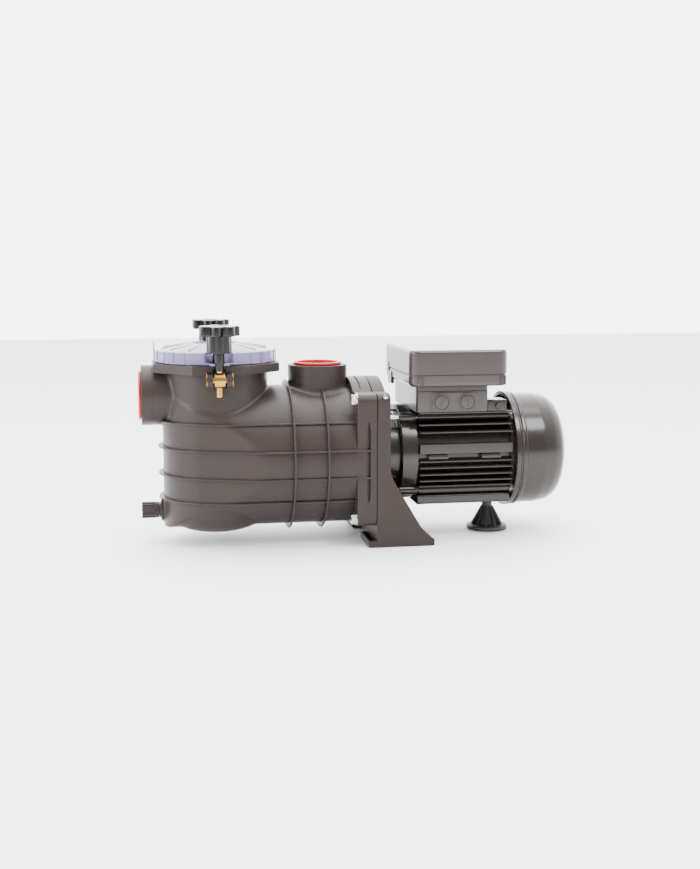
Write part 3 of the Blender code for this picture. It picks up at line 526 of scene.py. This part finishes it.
def skin(field, low, high, step):
    """A smooth mesh of where a distance field is zero, by surface nets on a grid."""
    axes = [np.arange(a, b + step, step) for a, b in zip(low, high)]
    inside = field(np.stack(np.meshgrid(*axes, indexing="ij"), -1)) < 0
    corners = [
        inside[i : i - 1 or None, j : j - 1 or None, k : k - 1 or None]
        for i in (0, 1)
        for j in (0, 1)
        for k in (0, 1)
    ]
    count = sum(corner.astype(np.int8) for corner in corners)
    mixed = (count > 0) & (count < 8)
    index = np.full(mixed.shape, -1)
    index[mixed] = np.arange(mixed.sum())
    points = np.array(low) + (np.argwhere(mixed) + 0.5) * step
    for _ in range(5):
        grade = slope(field, points)
        move = field(points)[:, None] * grade / np.maximum((grade**2).sum(-1), 0.3)[:, None]
        points -= np.clip(move, -step / 2, step / 2)
    quads = [net_faces(inside, index, axis) for axis in range(3)]
    mesh = bpy.data.meshes.new("skin")
    mesh.from_pydata(points.tolist(), [], np.concatenate(quads).tolist())
    obj = bpy.data.objects.new("skin", mesh)
    bpy.context.scene.collection.objects.link(obj)
    return obj


def net_faces(inside, index, axis):
    """One quad across each grid edge along an axis that enters or leaves the solid."""
    solid = np.moveaxis(inside, axis, 0)
    cells = np.moveaxis(index, axis, 0)
    here, there = solid[:-1, 1:-1, 1:-1], solid[1:, 1:-1, 1:-1]
    around = [cells[:, :-1, :-1], cells[:, 1:, :-1], cells[:, 1:, 1:], cells[:, :-1, 1:]]
    leaving, entering = here & ~there, there & ~here
    if axis == 1:
        leaving, entering = entering, leaving
    out = np.stack([cell[leaving] for cell in around], -1)
    back = np.stack([cell[entering] for cell in around[::-1]], -1)
    return np.concatenate([out, back])


# Casing.


def casing():
    """The moulded shell with the rim, ribs, hoops and flange that stand out from it."""
    shell = skin(casing_field, (-0.314, -0.094, 0.006), (-0.038, 0.094, 0.222), SKIN_STEP)
    show("casing_shell", "casing_plastic", shell, *CASING_NODES, sharp=50)
    collars()
    rim()
    for i, height in enumerate(RIB_HEIGHTS):
        show(f"casing_rib_{i + 1}", "casing_plastic", rib(height), body="root", sharp=60)
    hoop_profile = [
        (CHAMBER_RADIUS + 0.002, -RIB_HALF),
        (HOOP_RADIUS, -RIB_HALF),
        (HOOP_RADIUS, RIB_HALF),
        (CHAMBER_RADIUS + 0.002, RIB_HALF),
    ]
    for i, x in enumerate(HOOP_PLACES):
        hoop = turned("X", (x, 0, SHAFT_Z), fillet(hoop_profile, 0.0010, 3), 128)
        show(f"casing_hoop_{i + 1}", "casing_plastic", hoop, body="root", sharp=60)
    flange()


def rib(height):
    """A flat rib that hugs the casing at that height."""
    half_width = sqrt(BARREL_RADIUS**2 - (height - SHAFT_Z) ** 2)
    around = arc((POT_X, 0), POT_PLAN, 90 + degrees(FLARE), 270 - degrees(FLARE), 40)
    run = (half_width - around[0][1]) / tan(FLARE)
    flare_x = around[0][0] + run
    sides = [(RIB_END, half_width), (flare_x, half_width)]
    path = [*sides, *around, *[(x, -y) for x, y in sides[::-1]]]
    path = fillet(path, 0.050, 5, closed=False)
    low, high = height - RIB_HALF, height + RIB_HALF
    section = [(-0.0030, low), (RIB_REACH, low), (RIB_REACH, high), (-0.0030, high)]
    strip = band(path[::-1], fillet(section, 0.0010, 3))
    for vertex in strip.data.vertices:
        ahead = min(1, max(0, (POT_X - vertex.co.x) / POT_PLAN))
        outside = hypot(vertex.co.x - POT_X, vertex.co.y) > POT_PLAN
        vertex.co.x -= (RIB_TIP - RIB_REACH) * ahead**2 * outside
    return strip


def collars():
    """The turned ends of both ports and of the drain boss."""
    for name, axis, centre, face, depth in (
        ("suction", "X", (0, 0, SUCTION_Z), SUCTION_FACE, COLLAR_DEPTH),
        ("discharge", "Z", (DISCHARGE_X, 0, 0), DISCHARGE_FACE, -COLLAR_DEPTH),
    ):
        outline = [
            (PORT_BORE, face),
            (PORT_RADIUS + 0.0002, face),
            (PORT_RADIUS + 0.0002, face + depth),
            (PORT_BORE, face + depth),
        ]
        ring = turned(axis, centre, fillet(outline, 0.0008, 3), 128)
        show(f"{name}_collar", "casing_plastic", ring, body="root")
    boss = [(DRAIN_BORE, -0.2910), (0.0140, -0.2910), (0.0140, -0.2845), (DRAIN_BORE, -0.2845)]
    ring = turned("X", (0, 0, DRAIN_Z), fillet(boss, 0.0006, 2), 64)
    show("drain_boss", "casing_plastic", ring, body="root")


def rim():
    """The pot's eight-sided rim with a clevis at the front and the back."""
    corner = RIM_APOTHEM / cos(pi / 8)
    plate = prism("Z", arc((POT_X, 0), corner, 22.5, 337.5, 7), RIM_LOW, RIM_TOP, 0.0012)
    cut(plate, turned("Z", POT_CENTRE, [(0, 0.2), (0.0625, 0.2), (0.0625, 0.23), (0, 0.23)]))
    for side in (-1, 1):
        pocket = side_block((POT_X - CLEVIS_GAP, 0.0690, 0.20), (POT_X + CLEVIS_GAP, 0.1, 0.2225), side)
        slot = side_block((POT_X - 0.0055, 0.0758, 0.21), (POT_X + 0.0055, 0.1, 0.24), side)
        cut(plate, pocket, slot)
    show("pot_rim", "casing_plastic", plate, body="root", sharp=25)
    for side, label in SIDES:
        for i, away in enumerate((-1, 1)):
            near, far = sorted((POT_X + away * CLEVIS_GAP, POT_X + away * CLEVIS_HALF))
            ear = prism("X", clevis_outline(side), near, far, 0.0008)
            show(f"{label}_clevis_{i + 1}", "casing_plastic", ear, body="root")
            ring = [(0.0086, 0), (0.0097, 0), (0.0097, 0.0005), (0.0086, 0.0005)]
            washer = [(r, away * (CLEVIS_HALF + h)) for r, h in ring]
            pin = turned("X", (POT_X, side * STUD_Y, PIVOT_Z), washer, 48)
            show(f"{label}_pin_ring_{i + 1}", "brass", pin, body="root")


def clevis_outline(side):
    """An ear round the swivel's pin, reaching back to the pot, in (y, z)."""
    nose = arc((STUD_Y, PIVOT_Z), SWIVEL_RADIUS, -90, 0, 12)
    points = [(0.0600, PIVOT_Z - 0.0120), *nose, (STUD_Y + 0.0070, RIM_LOW + 0.002)]
    points.append((0.0600, RIM_LOW + 0.002))
    return [(side * y, z) for y, z in points]


def slot_outline():
    """The narrow pocket with pointed ends in the flange's side, in (x, z)."""
    middle = (SLOT_LEFT + SLOT_RIGHT) / 2
    ends = [(SLOT_RIGHT, SLOT_LOW + 0.010), (SLOT_RIGHT, SLOT_HIGH - 0.012), (middle, SLOT_HIGH)]
    return [(middle, SLOT_LOW), *ends, (SLOT_LEFT, SLOT_HIGH - 0.012), (SLOT_LEFT, SLOT_LOW + 0.010)]


def flange():
    plate = prism("X", flange_outline(FLANGE_LOW), FLANGE_LEFT, FLANGE_RIGHT, 0.0012)
    mouth = [(0, FLANGE_LEFT - 0.01), (CHAMBER_MOUTH, FLANGE_LEFT - 0.01)]
    mouth += [(CHAMBER_MOUTH, FLANGE_RIGHT + 0.01), (0, FLANGE_RIGHT + 0.01)]
    cut(plate, turned("X", SHAFT_CENTRE, mouth))
    for side in (-1, 1):
        cut(plate, prism("Y", slot_outline(), *on_side(side, 0.0835, 0.10)))
    groove = [(0.0955, -0.0470), (0.1100, -0.0470), (0.1100, -0.0440), (0.0955, -0.0440)]
    below = block((-0.06, -0.12, -0.02), (-0.03, 0.12, FLANGE_TOP + 0.003), 0)
    cut(plate, cut(turned("X", SHAFT_CENTRE, groove), below))
    show("casing_flange", "casing_plastic", plate, body="root", sharp=25)
    for i, (y, z) in enumerate(CASING_BOLTS):
        bolt = prism("X", hexagon((y, z), 0.0066), -0.0625, FLANGE_LEFT - 0.0012, 0.0006)
        join(bolt, rod("X", (0, y, z), 0.0078, FLANGE_LEFT - 0.0015, FLANGE_LEFT + 0.0004))
        show(f"flange_bolt_{i + 1}", "steel", bolt, f"casing_bolt_{i + 1}", sharp=25)


# Lid, clamps, caps and drain plug.


def lid():
    """The clear lid: a shallow cone with an ear under each clamp, grip fins and spokes."""
    profile = [
        (0.0635, LID_LOW),
        (LID_RADIUS, LID_LOW),
        (LID_RADIUS, LID_SHOULDER),
        (0.0700, 0.2418),
        (0.0300, 0.2488),
        (0.0150, LID_CROWN),
        (0, LID_CROWN),
        (0, 0.2470),
        (0.0290, 0.2458),
        (0.0635, 0.2390),
    ]
    shell = turned("Z", POT_CENTRE, fillet(profile, 0.0012, 3), 96)
    for side in (-1, 1):
        cut(shell, rod("Z", (POT_X, side * STUD_Y, 0), 0.0190, 0.2290, 0.260))
        cut(shell, stud_slot(0.0735, side))
    show("lid_shell", "lid_plastic", shell, "strainer_lid")
    for side, label in SIDES:
        ear = side_block((POT_X - 0.0120, 0.0640, LID_LOW), (POT_X + 0.0120, 0.0850, 0.2290), side)
        cut(ear, stud_slot(0.0755, side))
        show(f"lid_ear_{label}", "lid_plastic", ear, body="root")
    for i in range(LID_FINS):
        angle = tau * (i + 0.5) / LID_FINS
        beside_clamp = abs(sin(angle)) > 0.93
        if beside_clamp:
            continue
        fin = block((0.0740, -0.0009, 0.2268), (0.0760, 0.0009, 0.2410), 0.0004)
        spin(fin, "Z", POT_CENTRE, angle)
        show(f"lid_fin_{i + 1}", "lid_plastic", fin, body="root")
        if i % 2 == 0:
            outline = [(0.0200, 0.2460), (0.0660, 0.2395), (0.0660, 0.2436), (0.0200, 0.2506)]
            spoke = prism("Y", outline, -0.0008, 0.0008, 0.0003, 1)
            spin(spoke, "Z", POT_CENTRE, angle)
            show(f"lid_spoke_{i + 1}", "lid_plastic", spoke, body="root")
    tab = block((POT_X - 0.0758, -0.0050, 0.2400), (POT_X - 0.0744, 0.0050, 0.2510), 0.0004)
    show("lid_tab", "lid_plastic", tab, body="root")


def stud_slot(depth, side):
    """A cutter for the gap that the stud swings out of, open outwards from that depth."""
    low = (POT_X - LID_SLOT_HALF, depth, 0.22)
    return side_block(low, (POT_X + LID_SLOT_HALF, 0.1, 0.24), side, 0)


def thread_outline():
    """Crests and roots of the stud's thread as (radius, height), from its tip upwards."""
    low, high, steps = STUD_TIP + 0.0006, 0.2400, 2 * THREAD_TURNS
    return [(0.0040 if i % 2 else 0.0036, low + (high - low) * i / steps) for i in range(steps + 1)]


def clamp(side, label):
    """The brass swivel and stud of one lid clamp with its collar and star knob."""
    y = side * STUD_Y
    swivel = rod("X", (POT_X, y, PIVOT_Z), SWIVEL_RADIUS, -SWIVEL_HALF, SWIVEL_HALF, 0.0006, 96)
    join(swivel, rod("X", (POT_X, y, PIVOT_Z), 0.0040, -CLEVIS_HALF, CLEVIS_HALF))
    cut(swivel, rod("Z", (POT_X, y, 0), STUD_BORE, 0.190, 0.230))
    show(f"{label}_barrel", "brass", swivel, f"{label}_swivel")
    outline = [(0, STUD_TIP), (0.0033, STUD_TIP), *thread_outline(), (0.0038, STUD_TOP), (0, STUD_TOP)]
    stud = turned("Z", (POT_X, y, 0), outline, 32)
    show(f"{label}_threaded_stud", "brass", stud, f"{label}_stud", sharp=60)
    collar = [(STUD_BORE, 0.2200), (0.0050, 0.2200), (0.0050, 0.2293), (0.0060, 0.2293)]
    collar += [(0.0060, 0.2410), (STUD_BORE, 0.2410)]
    neck = turned("Z", (POT_X, y, 0), fillet(collar, 0.0004, 2), 48)
    show(f"{label}_neck", "black_plastic", neck, f"{label}_collar")
    knob = prism("Z", star((POT_X, y), 0.0247, 0.0065, 7), 0.2616, 0.2736, 0.0018, 4)
    hub = prism("Z", star((POT_X, y), 0.0150, 0.0012, 8), 0.2413, 0.2650, 0.0010, 3)
    join(knob, hub)
    dish = [(0, 0.2726), (0.0110, 0.2732), (0.0125, 0.2790), (0, 0.2790)]
    socket = rod("Z", (POT_X, y, 0), STUD_BORE, 0.230, STUD_TOP + 0.0004)
    cut(knob, socket, turned("Z", (POT_X, y, 0), dish, 64))
    show(f"{label}_star_knob", "black_plastic", knob, f"{label}_knob")


def port_caps():
    """The red transport caps, each a cup with a flange outside the port."""
    profile = [
        (0, -0.0160),
        (0.0280, -0.0160),
        (0.0280, 0.0003),
        (0.0305, 0.0003),
        (0.0305, 0.0034),
        (0.0258, 0.0034),
        (0.0258, -0.0138),
        (0, -0.0138),
    ]
    for name, axis, centre, sign in (
        ("suction", "X", (SUCTION_FACE, 0, SUCTION_Z), -1),
        ("discharge", "Z", (DISCHARGE_X, 0, DISCHARGE_FACE), 1),
    ):
        outline = [(r, sign * h) for r, h in fillet(profile, 0.0008, 3)]
        cap = turned(axis, centre, outline, 128)
        show(f"{name}_red_cap", "red_plastic", cap, f"{name}_cap")


def drain():
    """The fluted drain plug and its seal."""
    ring = [(DRAIN_BORE, -0.2928), (DRAIN_HEAD, -0.2928), (DRAIN_HEAD, -0.2913), (DRAIN_BORE, -0.2913)]
    washer = turned("X", (0, 0, DRAIN_Z), fillet(ring, 0.0003, 2), 64)
    show("drain_ring", "rubber", washer, "drain_seal")
    head = prism("X", star((0, DRAIN_Z), DRAIN_HEAD, 0.0010, 14, 8), -0.3150, -0.2965, 0.0007, 2)
    join(head, rod("X", (0, 0, DRAIN_Z), 0.0100, -0.2985, -0.2931))
    join(head, rod("X", (0, 0, DRAIN_Z), 0.0063, -0.2940, -0.2800))
    show("drain_screw_plug", "casing_plastic", head, "drain_plug")


# Bracket.


def bracket():
    """The plate behind the casing with a sloping cheek and a foot on each side."""
    left, right = BRACKET_LEFT + 0.0002, BRACKET_RIGHT - 0.0002
    plate = prism("X", flange_outline(0.0005, 0.0007), left, right, 0.0012)
    bore = [(0, -0.0400), (0.0843, -0.0400), (0.0843, -0.0247), (0.0400, -0.0247)]
    bore += [(0.0400, 0.0), (0, 0.0)]
    cut(plate, turned("X", SHAFT_CENTRE, bore))
    for y, rise in TIE_BOLTS:
        cut(plate, rod("X", (0, y, SHAFT_Z + rise), 0.0034, -0.0215, 0.0, 0))
    show("bracket_plate", "bracket_plastic", plate, "motor_bracket", sharp=25)
    for side, label in SIDES:
        near, far = on_side(side, FLANGE_HALF_Y - 0.008, FLANGE_HALF_Y)
        cheek = prism("Y", cheek_outline(), near, far, BRACKET_EDGE)
        show(f"{label}_cheek", "bracket_plastic", cheek, body="root")
        foot_plate(side, label)
        screw = rod("Y", (-0.0215, side * 0.0872, 0.1862), 0.0026, -0.001, 0.001)
        show(f"{label}_cap_screw", "steel", screw, body="root")
    tie = block((-0.0300, -0.030, 0), (0.0150, 0.030, FOOT_THICKNESS), 0.0005)
    show("foot_cross_tie", "bracket_plastic", tie, body="root")


def cheek_outline():
    """The bracket's side in (x, z): upright, then sloping out to the end of the foot."""
    slope_curve = [(BRACKET_RIGHT, CHEEK_TOP), (BRACKET_RIGHT, 0.0890), (0.0255, 0.0215)]
    slope_curve = fillet([*slope_curve, (0.0400, FOOT_THICKNESS)], 0.040, 8, closed=False)
    base = [(BRACKET_LEFT, 0), (FOOT_HALF_X, 0), (FOOT_HALF_X, 0.0075)]
    return [*base, *slope_curve[::-1], (BRACKET_LEFT, CHEEK_TOP)]


def foot_plate(side, label):
    """A foot with a trough at its left end and a raised ring round its bolt hole."""
    low = (-FOOT_HALF_X, 0.029, 0)
    high = (FOOT_HALF_X - 0.0003, FLANGE_HALF_Y - 0.0003, FOOT_THICKNESS)
    foot = side_block(low, high, side, BRACKET_EDGE)
    cut(foot, side_block((-0.0390, 0.033, 0.0030), (-0.0320, 0.0850, 0.02), side, 0))
    cut(foot, rod("Z", (FOOT_HOLE[0], side * FOOT_HOLE[1], 0), FOOT_HOLE_RADIUS, -0.005, 0.015, 0))
    show(f"{label}_foot_plate", "bracket_plastic", foot, body="root", sharp=25)
    pad = [(FOOT_HOLE_RADIUS, 0.0060), (0.0085, 0.0060), (0.0085, 0.0108), (FOOT_HOLE_RADIUS, 0.0108)]
    pad = turned("Z", (FOOT_HOLE[0], side * FOOT_HOLE[1], 0), fillet(pad, 0.0006, 2), 48)
    show(f"{label}_foot_pad", "bracket_plastic", pad, body="root")


# Motor.


def motor_frame():
    """The stator's tube with its cooling fins, side bands, lugs and bolt bosses."""
    tube = [(0.0505, FRAME_LEFT), (0.0540, FRAME_LEFT), (0.0540, FRAME_RIGHT), (0.0505, FRAME_RIGHT)]
    tube = turned("X", SHAFT_CENTRE, fillet(tube, 0.0004, 1), 96)
    show("motor_tube", "motor_paint", tube, "stator_frame")
    for side, label in SIDES:
        for i, rise in enumerate(FIN_HEIGHTS):
            reach = min(0.0640, sqrt(0.0700**2 - rise**2))
            root = sqrt(0.0520**2 - rise**2)
            z = SHAFT_Z + rise
            low, high = (FRAME_LEFT, root, z - FIN_HALF), (FRAME_RIGHT, reach, z + FIN_HALF)
            fin = side_block(low, high, side, 0.0009)
            show(f"{label}_fin_{i + 1}", "motor_paint", fin, body="root")
        strip = side_block((FRAME_LEFT, 0.045, 0.1103), (FRAME_RIGHT, 0.0640, 0.1233), side, 0.0012)
        show(f"{label}_band", "motor_paint", strip, body="root")
        for i, x in enumerate((0.0385, 0.1065)):
            lug = side_block((x, 0.048, 0.1035), (x + 0.0260, 0.0650, 0.1098), side, 0.0020)
            show(f"{label}_lug_{i + 1}", "motor_paint", lug, body="root")
    for i, (y, rise) in enumerate(TIE_BOLTS):
        boss = rod("X", (0, y, SHAFT_Z + rise), 0.0052, FRAME_LEFT, FRAME_RIGHT + 0.001, 0.0006)
        show(f"frame_boss_{i + 1}", "motor_paint", boss, body="root")
    ring = [(0.0602, 0.1480), (0.0630, 0.1480), (0.0630, 0.1530), (0.0602, 0.1530)]
    show("frame_end_ring", "motor_paint", turned("X", SHAFT_CENTRE, ring), body="root")


def motor_deck():
    """The flat top under the terminal box, the closed underside and the rear lugs."""
    deck = block((FRAME_LEFT, -0.058, 0.1600), (FRAME_RIGHT, 0.058, 0.1627), 0.0009)
    show("motor_deck", "motor_paint", deck, body="root")
    spine = block((FRAME_LEFT, -0.012, 0.150), (FRAME_RIGHT, 0.012, 0.1620), 0.0005)
    show("motor_spine", "motor_paint", spine, body="root")
    sides = [(-0.050, 0.0560), (-0.050, 0.0440), (0.050, 0.0440), (0.050, 0.0560), (0.030, 0.0600)]
    skirt = fillet([*sides, (-0.030, 0.0600)], 0.0030, 5)
    show("motor_skirt", "motor_paint", prism("X", skirt, FRAME_LEFT, FRAME_RIGHT, 0.0008), body="root")
    for side, label in SIDES:
        lug = side_block((0.1145, 0.034, 0.1625), (0.1400, 0.060, 0.1770), side, 0.0020)
        show(f"{label}_deck_lug", "motor_paint", lug, body="root")
        near, far = on_side(side, 0.0590, 0.0630)
        bolt = prism("Y", hexagon((0.1290, 0.1690), 0.0048), near, far, 0.0005)
        show(f"{label}_deck_bolt", "motor_paint", bolt, body="root", sharp=25)


def endshields():
    """The front endshield and the long bolts that tie the motor together."""
    front = [
        (0.0090, 0.0022),
        (0.0300, 0.0022),
        (0.0300, -0.0142),
        (0.0500, -0.0142),
        (0.0500, 0.0060),
        (0.0610, 0.0060),
        (0.0610, 0.0273),
        (0.0460, 0.0273),
        (0.0460, 0.0215),
        (0.0178, 0.0215),
        (0.0178, 0.0052),
        (0.0090, 0.0052),
    ]
    shield = turned("X", SHAFT_CENTRE, fillet(front, 0.0016, 4), 128)
    show("motor_front_shield", "motor_paint", shield, "front_endshield")
    for i, (y, rise) in enumerate(TIE_BOLTS):
        lug = rod("X", (0, y, SHAFT_Z + rise), 0.0060, 0.0045, 0.0267, 0.0008)
        show(f"shield_boss_{i + 1}", "motor_paint", lug, body="root")
        bolt = rod("X", (0, y, SHAFT_Z + rise), 0.0030, -0.0205, 0.1640, 0.0003)
        join(bolt, prism("X", hexagon((y, SHAFT_Z + rise), 0.0050), 0.1623, 0.1665, 0.0004))
        show(f"zinc_tie_bolt_{i + 1}", "steel", bolt, f"tie_bolt_{i + 1}", sharp=25)


def cowl():
    """The fan cover: a double lip, a barrel and a domed end with air slots."""
    lip = [
        (0.0745, 0.1510),
        (0.0745, 0.1560),
        (0.0726, 0.1575),
        (0.0726, 0.1590),
        (0.0738, 0.1600),
        (0.0738, 0.1640),
        (0.0716, 0.1655),
    ]
    dome = [(0.0718, 0.1890), (0.0695, 0.2035), (0.0640, 0.2142), (0.0530, 0.2200)]
    dome += [(0.0410, 0.2238), (0, 0.2300)]
    outer = fillet(lip + dome[:1], 0.0009, 3, closed=False)[:-1]
    outer += fillet(lip[-1:] + dome, 0.0250, 8, closed=False)[1:]
    inner = [(0, 0.2280), (0.0400, 0.2218), (0.0515, 0.2180), (0.0615, 0.2125), (0.0675, 0.2025)]
    inner += [(0.0698, 0.1870), (0.0700, 0.1510)]
    shell = turned("X", SHAFT_CENTRE, outer + inner, 160)
    slots = []
    for i in range(COWL_SLOTS):
        slot = block((0.2150, -0.0016, 0.0120), (0.2450, 0.0016, 0.0380), 0)
        slots.append(spin(slot, "X", SHAFT_CENTRE, tau * (i + 0.5) / COWL_SLOTS))
    cut(shell, *slots)
    show("motor_cowl", "motor_paint", shell, "fan_cover", sharp=40)


# Terminal box.


def box_outline(inset):
    low = (BOX_LEFT + inset, -BOX_HALF_Y + inset)
    high = (BOX_RIGHT - inset, BOX_HALF_Y - inset)
    return fillet(rectangle(low, high), 0.012 - inset, 10)


def terminal_box():
    """The cover and the tray with the gasket between them, the clips and the hook."""
    cover = prism("Z", box_outline(0.0), 0.2050, 0.2410, 0.0040, 6)
    below = block((0.0, -0.09, 0.190), (0.15, 0.09, 0.2112), 0)
    show("box_cover", "box_plastic", cut(cover, below), "terminal_cover", sharp=30)
    tray = prism("Z", box_outline(0.0004), 0.1958, 0.2200, 0.0048, 6)
    above = block((0.0, -0.09, 0.2095), (0.15, 0.09, 0.230), 0)
    show("box_tray", "box_plastic", cut(tray, above), "terminal_tray", sharp=30)
    gasket = prism("Z", box_outline(0.0012), 0.2094, 0.2113)
    show("box_gasket", "rubber", gasket, "terminal_gasket", "run_capacitor", "terminal_block")
    for side, label in SIDES:
        for i, x in enumerate((0.0205, 0.1250)):
            clip = side_block((x, 0.0770, 0.1975), (x + 0.0076, 0.0788, 0.2085), side, 0.0005)
            hole = side_block((x + 0.0013, 0.0774, 0.1960), (x + 0.0063, 0.09, 0.2068), side, 0)
            show(f"{label}_clip_{i + 1}", "box_plastic", cut(clip, hole), body="root")
    hook = block((0.0106, 0.0330, 0.1900), (0.0150, 0.0560, 0.2060), 0.0008)
    show("box_hook", "black_plastic", hook, body="root")
    tongue = block((0.0106, 0.0500, 0.2030), (0.0130, 0.0545, 0.2180), 0.0006)
    show("box_tongue", "black_plastic", tongue, body="root")


def neck():
    """The box's neck on the motor, with two blind plugs in a raised panel."""
    low, high = (NECK_LEFT, -NECK_HALF_Y + 0.0014), (NECK_RIGHT, NECK_HALF_Y)
    wall = prism("Z", fillet(rectangle(low, high), 0.004, 4), 0.1632, 0.1955, 0.0006, 2)
    low, high = (NECK_LEFT + 0.0010, -NECK_HALF_Y, 0.1640), (NECK_RIGHT - 0.0010, -0.050, 0.1895)
    join(wall, block(low, high, 0.0010))
    shield_room = rod("X", SHAFT_CENTRE, 0.0615, 0.0, 0.0278, 0, 96)
    cut(wall, shield_room)
    show("box_neck", "box_plastic", wall, "terminal_neck", sharp=25)
    panel = fillet(rectangle((0.0400, 0.1642), (0.1010, 0.1880)), 0.0060, 6)
    raised = prism("Y", panel, -NECK_HALF_Y - 0.0012, -0.060, 0.0008)
    show("plug_panel", "box_plastic", raised, body="root")
    for i, x in enumerate(PLUG_PLACES):
        ring = [(0.0090, -0.0600), (0.0112, -0.0600), (0.0112, -0.0688), (0.0090, -0.0688)]
        collar = turned("Y", (x, 0, PLUG_Z), fillet(ring, 0.0006, 3), 64)
        show(f"plug_ring_{i + 1}", "box_plastic", collar, body="root")
        plug = rod("Y", (x, 0, PLUG_Z), 0.0086, -0.0693, -0.0663, 0.0006, 64)
        slot = block((-0.0062, -0.0702, -0.0010), (0.0062, -0.0683, 0.0010), 0)
        spin(slot, "Y", (x, 0, PLUG_Z), -radians(62 + 40 * i))
        show(f"entry_plug_{i + 1}", "box_plastic", cut(plug, slot), f"blind_plug_{i + 1}")


# Rear support.


def rear_support():
    """The rubber cone under the motor's far end, with thin fins round it."""
    profile = [
        (0, 0),
        (0.0258, 0),
        (0.0264, 0.0012),
        (0.0264, 0.0042),
        (0.0235, 0.0058),
        (0.0150, 0.0066),
        (0.0095, 0.0200),
        (0.0066, 0.0300),
        (0.0066, 0.0414),
        (0, 0.0414),
    ]
    cone = turned("Z", (REAR_FOOT_X, 0, 0), fillet(profile, 0.0015, 3), 96)
    show("support_cone", "rubber", cone, "rear_foot")
    fin_outline = [(0.0, 0.0040), (0.0215, 0.0055), (0.0080, 0.0300), (0.0, 0.0300)]
    for i in range(SUPPORT_FINS):
        fin = prism("Y", fin_outline, -0.0009, 0.0009, 0.0003, 1)
        spin(fin, "Z", (REAR_FOOT_X, 0, 0), tau * i / SUPPORT_FINS)
        show(f"support_fin_{i + 1}", "rubber", fin, body="root")


# Studio.


def studio():
    floor = block((-4, -4, -0.0210), (4, 4, -0.0006), 0)
    floor.name = "floor"
    floor.data.materials.append(finish("floor", (0.86, 0.86, 0.86), 0.60, mottle=0.005, size=40.0))
    bpy.context.scene.world = white_room()
    lamp("top_light", (-0.10, 0.10, 1.40), 1.20, 30)
    lamp("left_light", (-1.50, -0.70, 0.60), 0.70, 26)
    lamp("front_light", (0.50, -0.75, 1.20), 0.50, 16)


def white_room():
    """White surroundings, bright behind the object and dimmer towards the front."""
    world = bpy.data.worlds.new("studio")
    world.use_nodes = True
    nodes, links = world.node_tree.nodes, world.node_tree.links
    coordinates = nodes.new("ShaderNodeTexCoord")
    split = nodes.new("ShaderNodeSeparateXYZ")
    reach = nodes.new("ShaderNodeMapRange")
    reach.inputs["From Min"].default_value = FRONT_REACH
    reach.inputs["From Max"].default_value = BACK_REACH
    reach.inputs["To Min"].default_value = FRONT_LIGHT
    reach.inputs["To Max"].default_value = BACK_LIGHT
    links.new(coordinates.outputs["Generated"], split.inputs["Vector"])
    links.new(split.outputs["Y"], reach.inputs["Value"])
    links.new(reach.outputs["Result"], nodes["Background"].inputs["Strength"])
    nodes["Background"].inputs["Color"].default_value = (1.0, 0.995, 0.985, 1.0)
    return world


def lamp(name, location, size, power):
    light = bpy.data.lights.new(name, "AREA")
    light.size = size
    light.energy = power
    obj = bpy.data.objects.new(name, light)
    obj.location = location
    aim = Vector(LAMP_AIM) - Vector(location)
    obj.rotation_euler = aim.to_track_quat("-Z", "Y").to_euler()
    bpy.context.scene.collection.objects.link(obj)


def camera():
    lens = bpy.data.cameras.new("camera")
    lens.lens = LENS_LENGTH
    lens.sensor_width = SENSOR_WIDTH
    obj = bpy.data.objects.new("camera", lens)
    obj.location = CAMERA_PLACE
    aim = Vector(CAMERA_AIM) - obj.location
    obj.rotation_euler = aim.to_track_quat("-Z", "Y").to_euler()
    bpy.context.scene.collection.objects.link(obj)
    bpy.context.scene.camera = obj


def finish_cad_nodes():
    """The CAD nodes that are still shown get the finish of their slot."""
    for name, obj in frame["nodes"].items():
        if not obj.hide_render:
            obj.data.materials.clear()
            obj.data.materials.append(FINISHES[SLOT_OF[name]])


def build():
    casing()
    lid()
    for side, label in SIDES:
        clamp(side, label)
    port_caps()
    drain()
    bracket()
    motor_frame()
    motor_deck()
    endshields()
    cowl()
    terminal_box()
    neck()
    rear_support()
    finish_cad_nodes()
    studio()
    camera()


build()
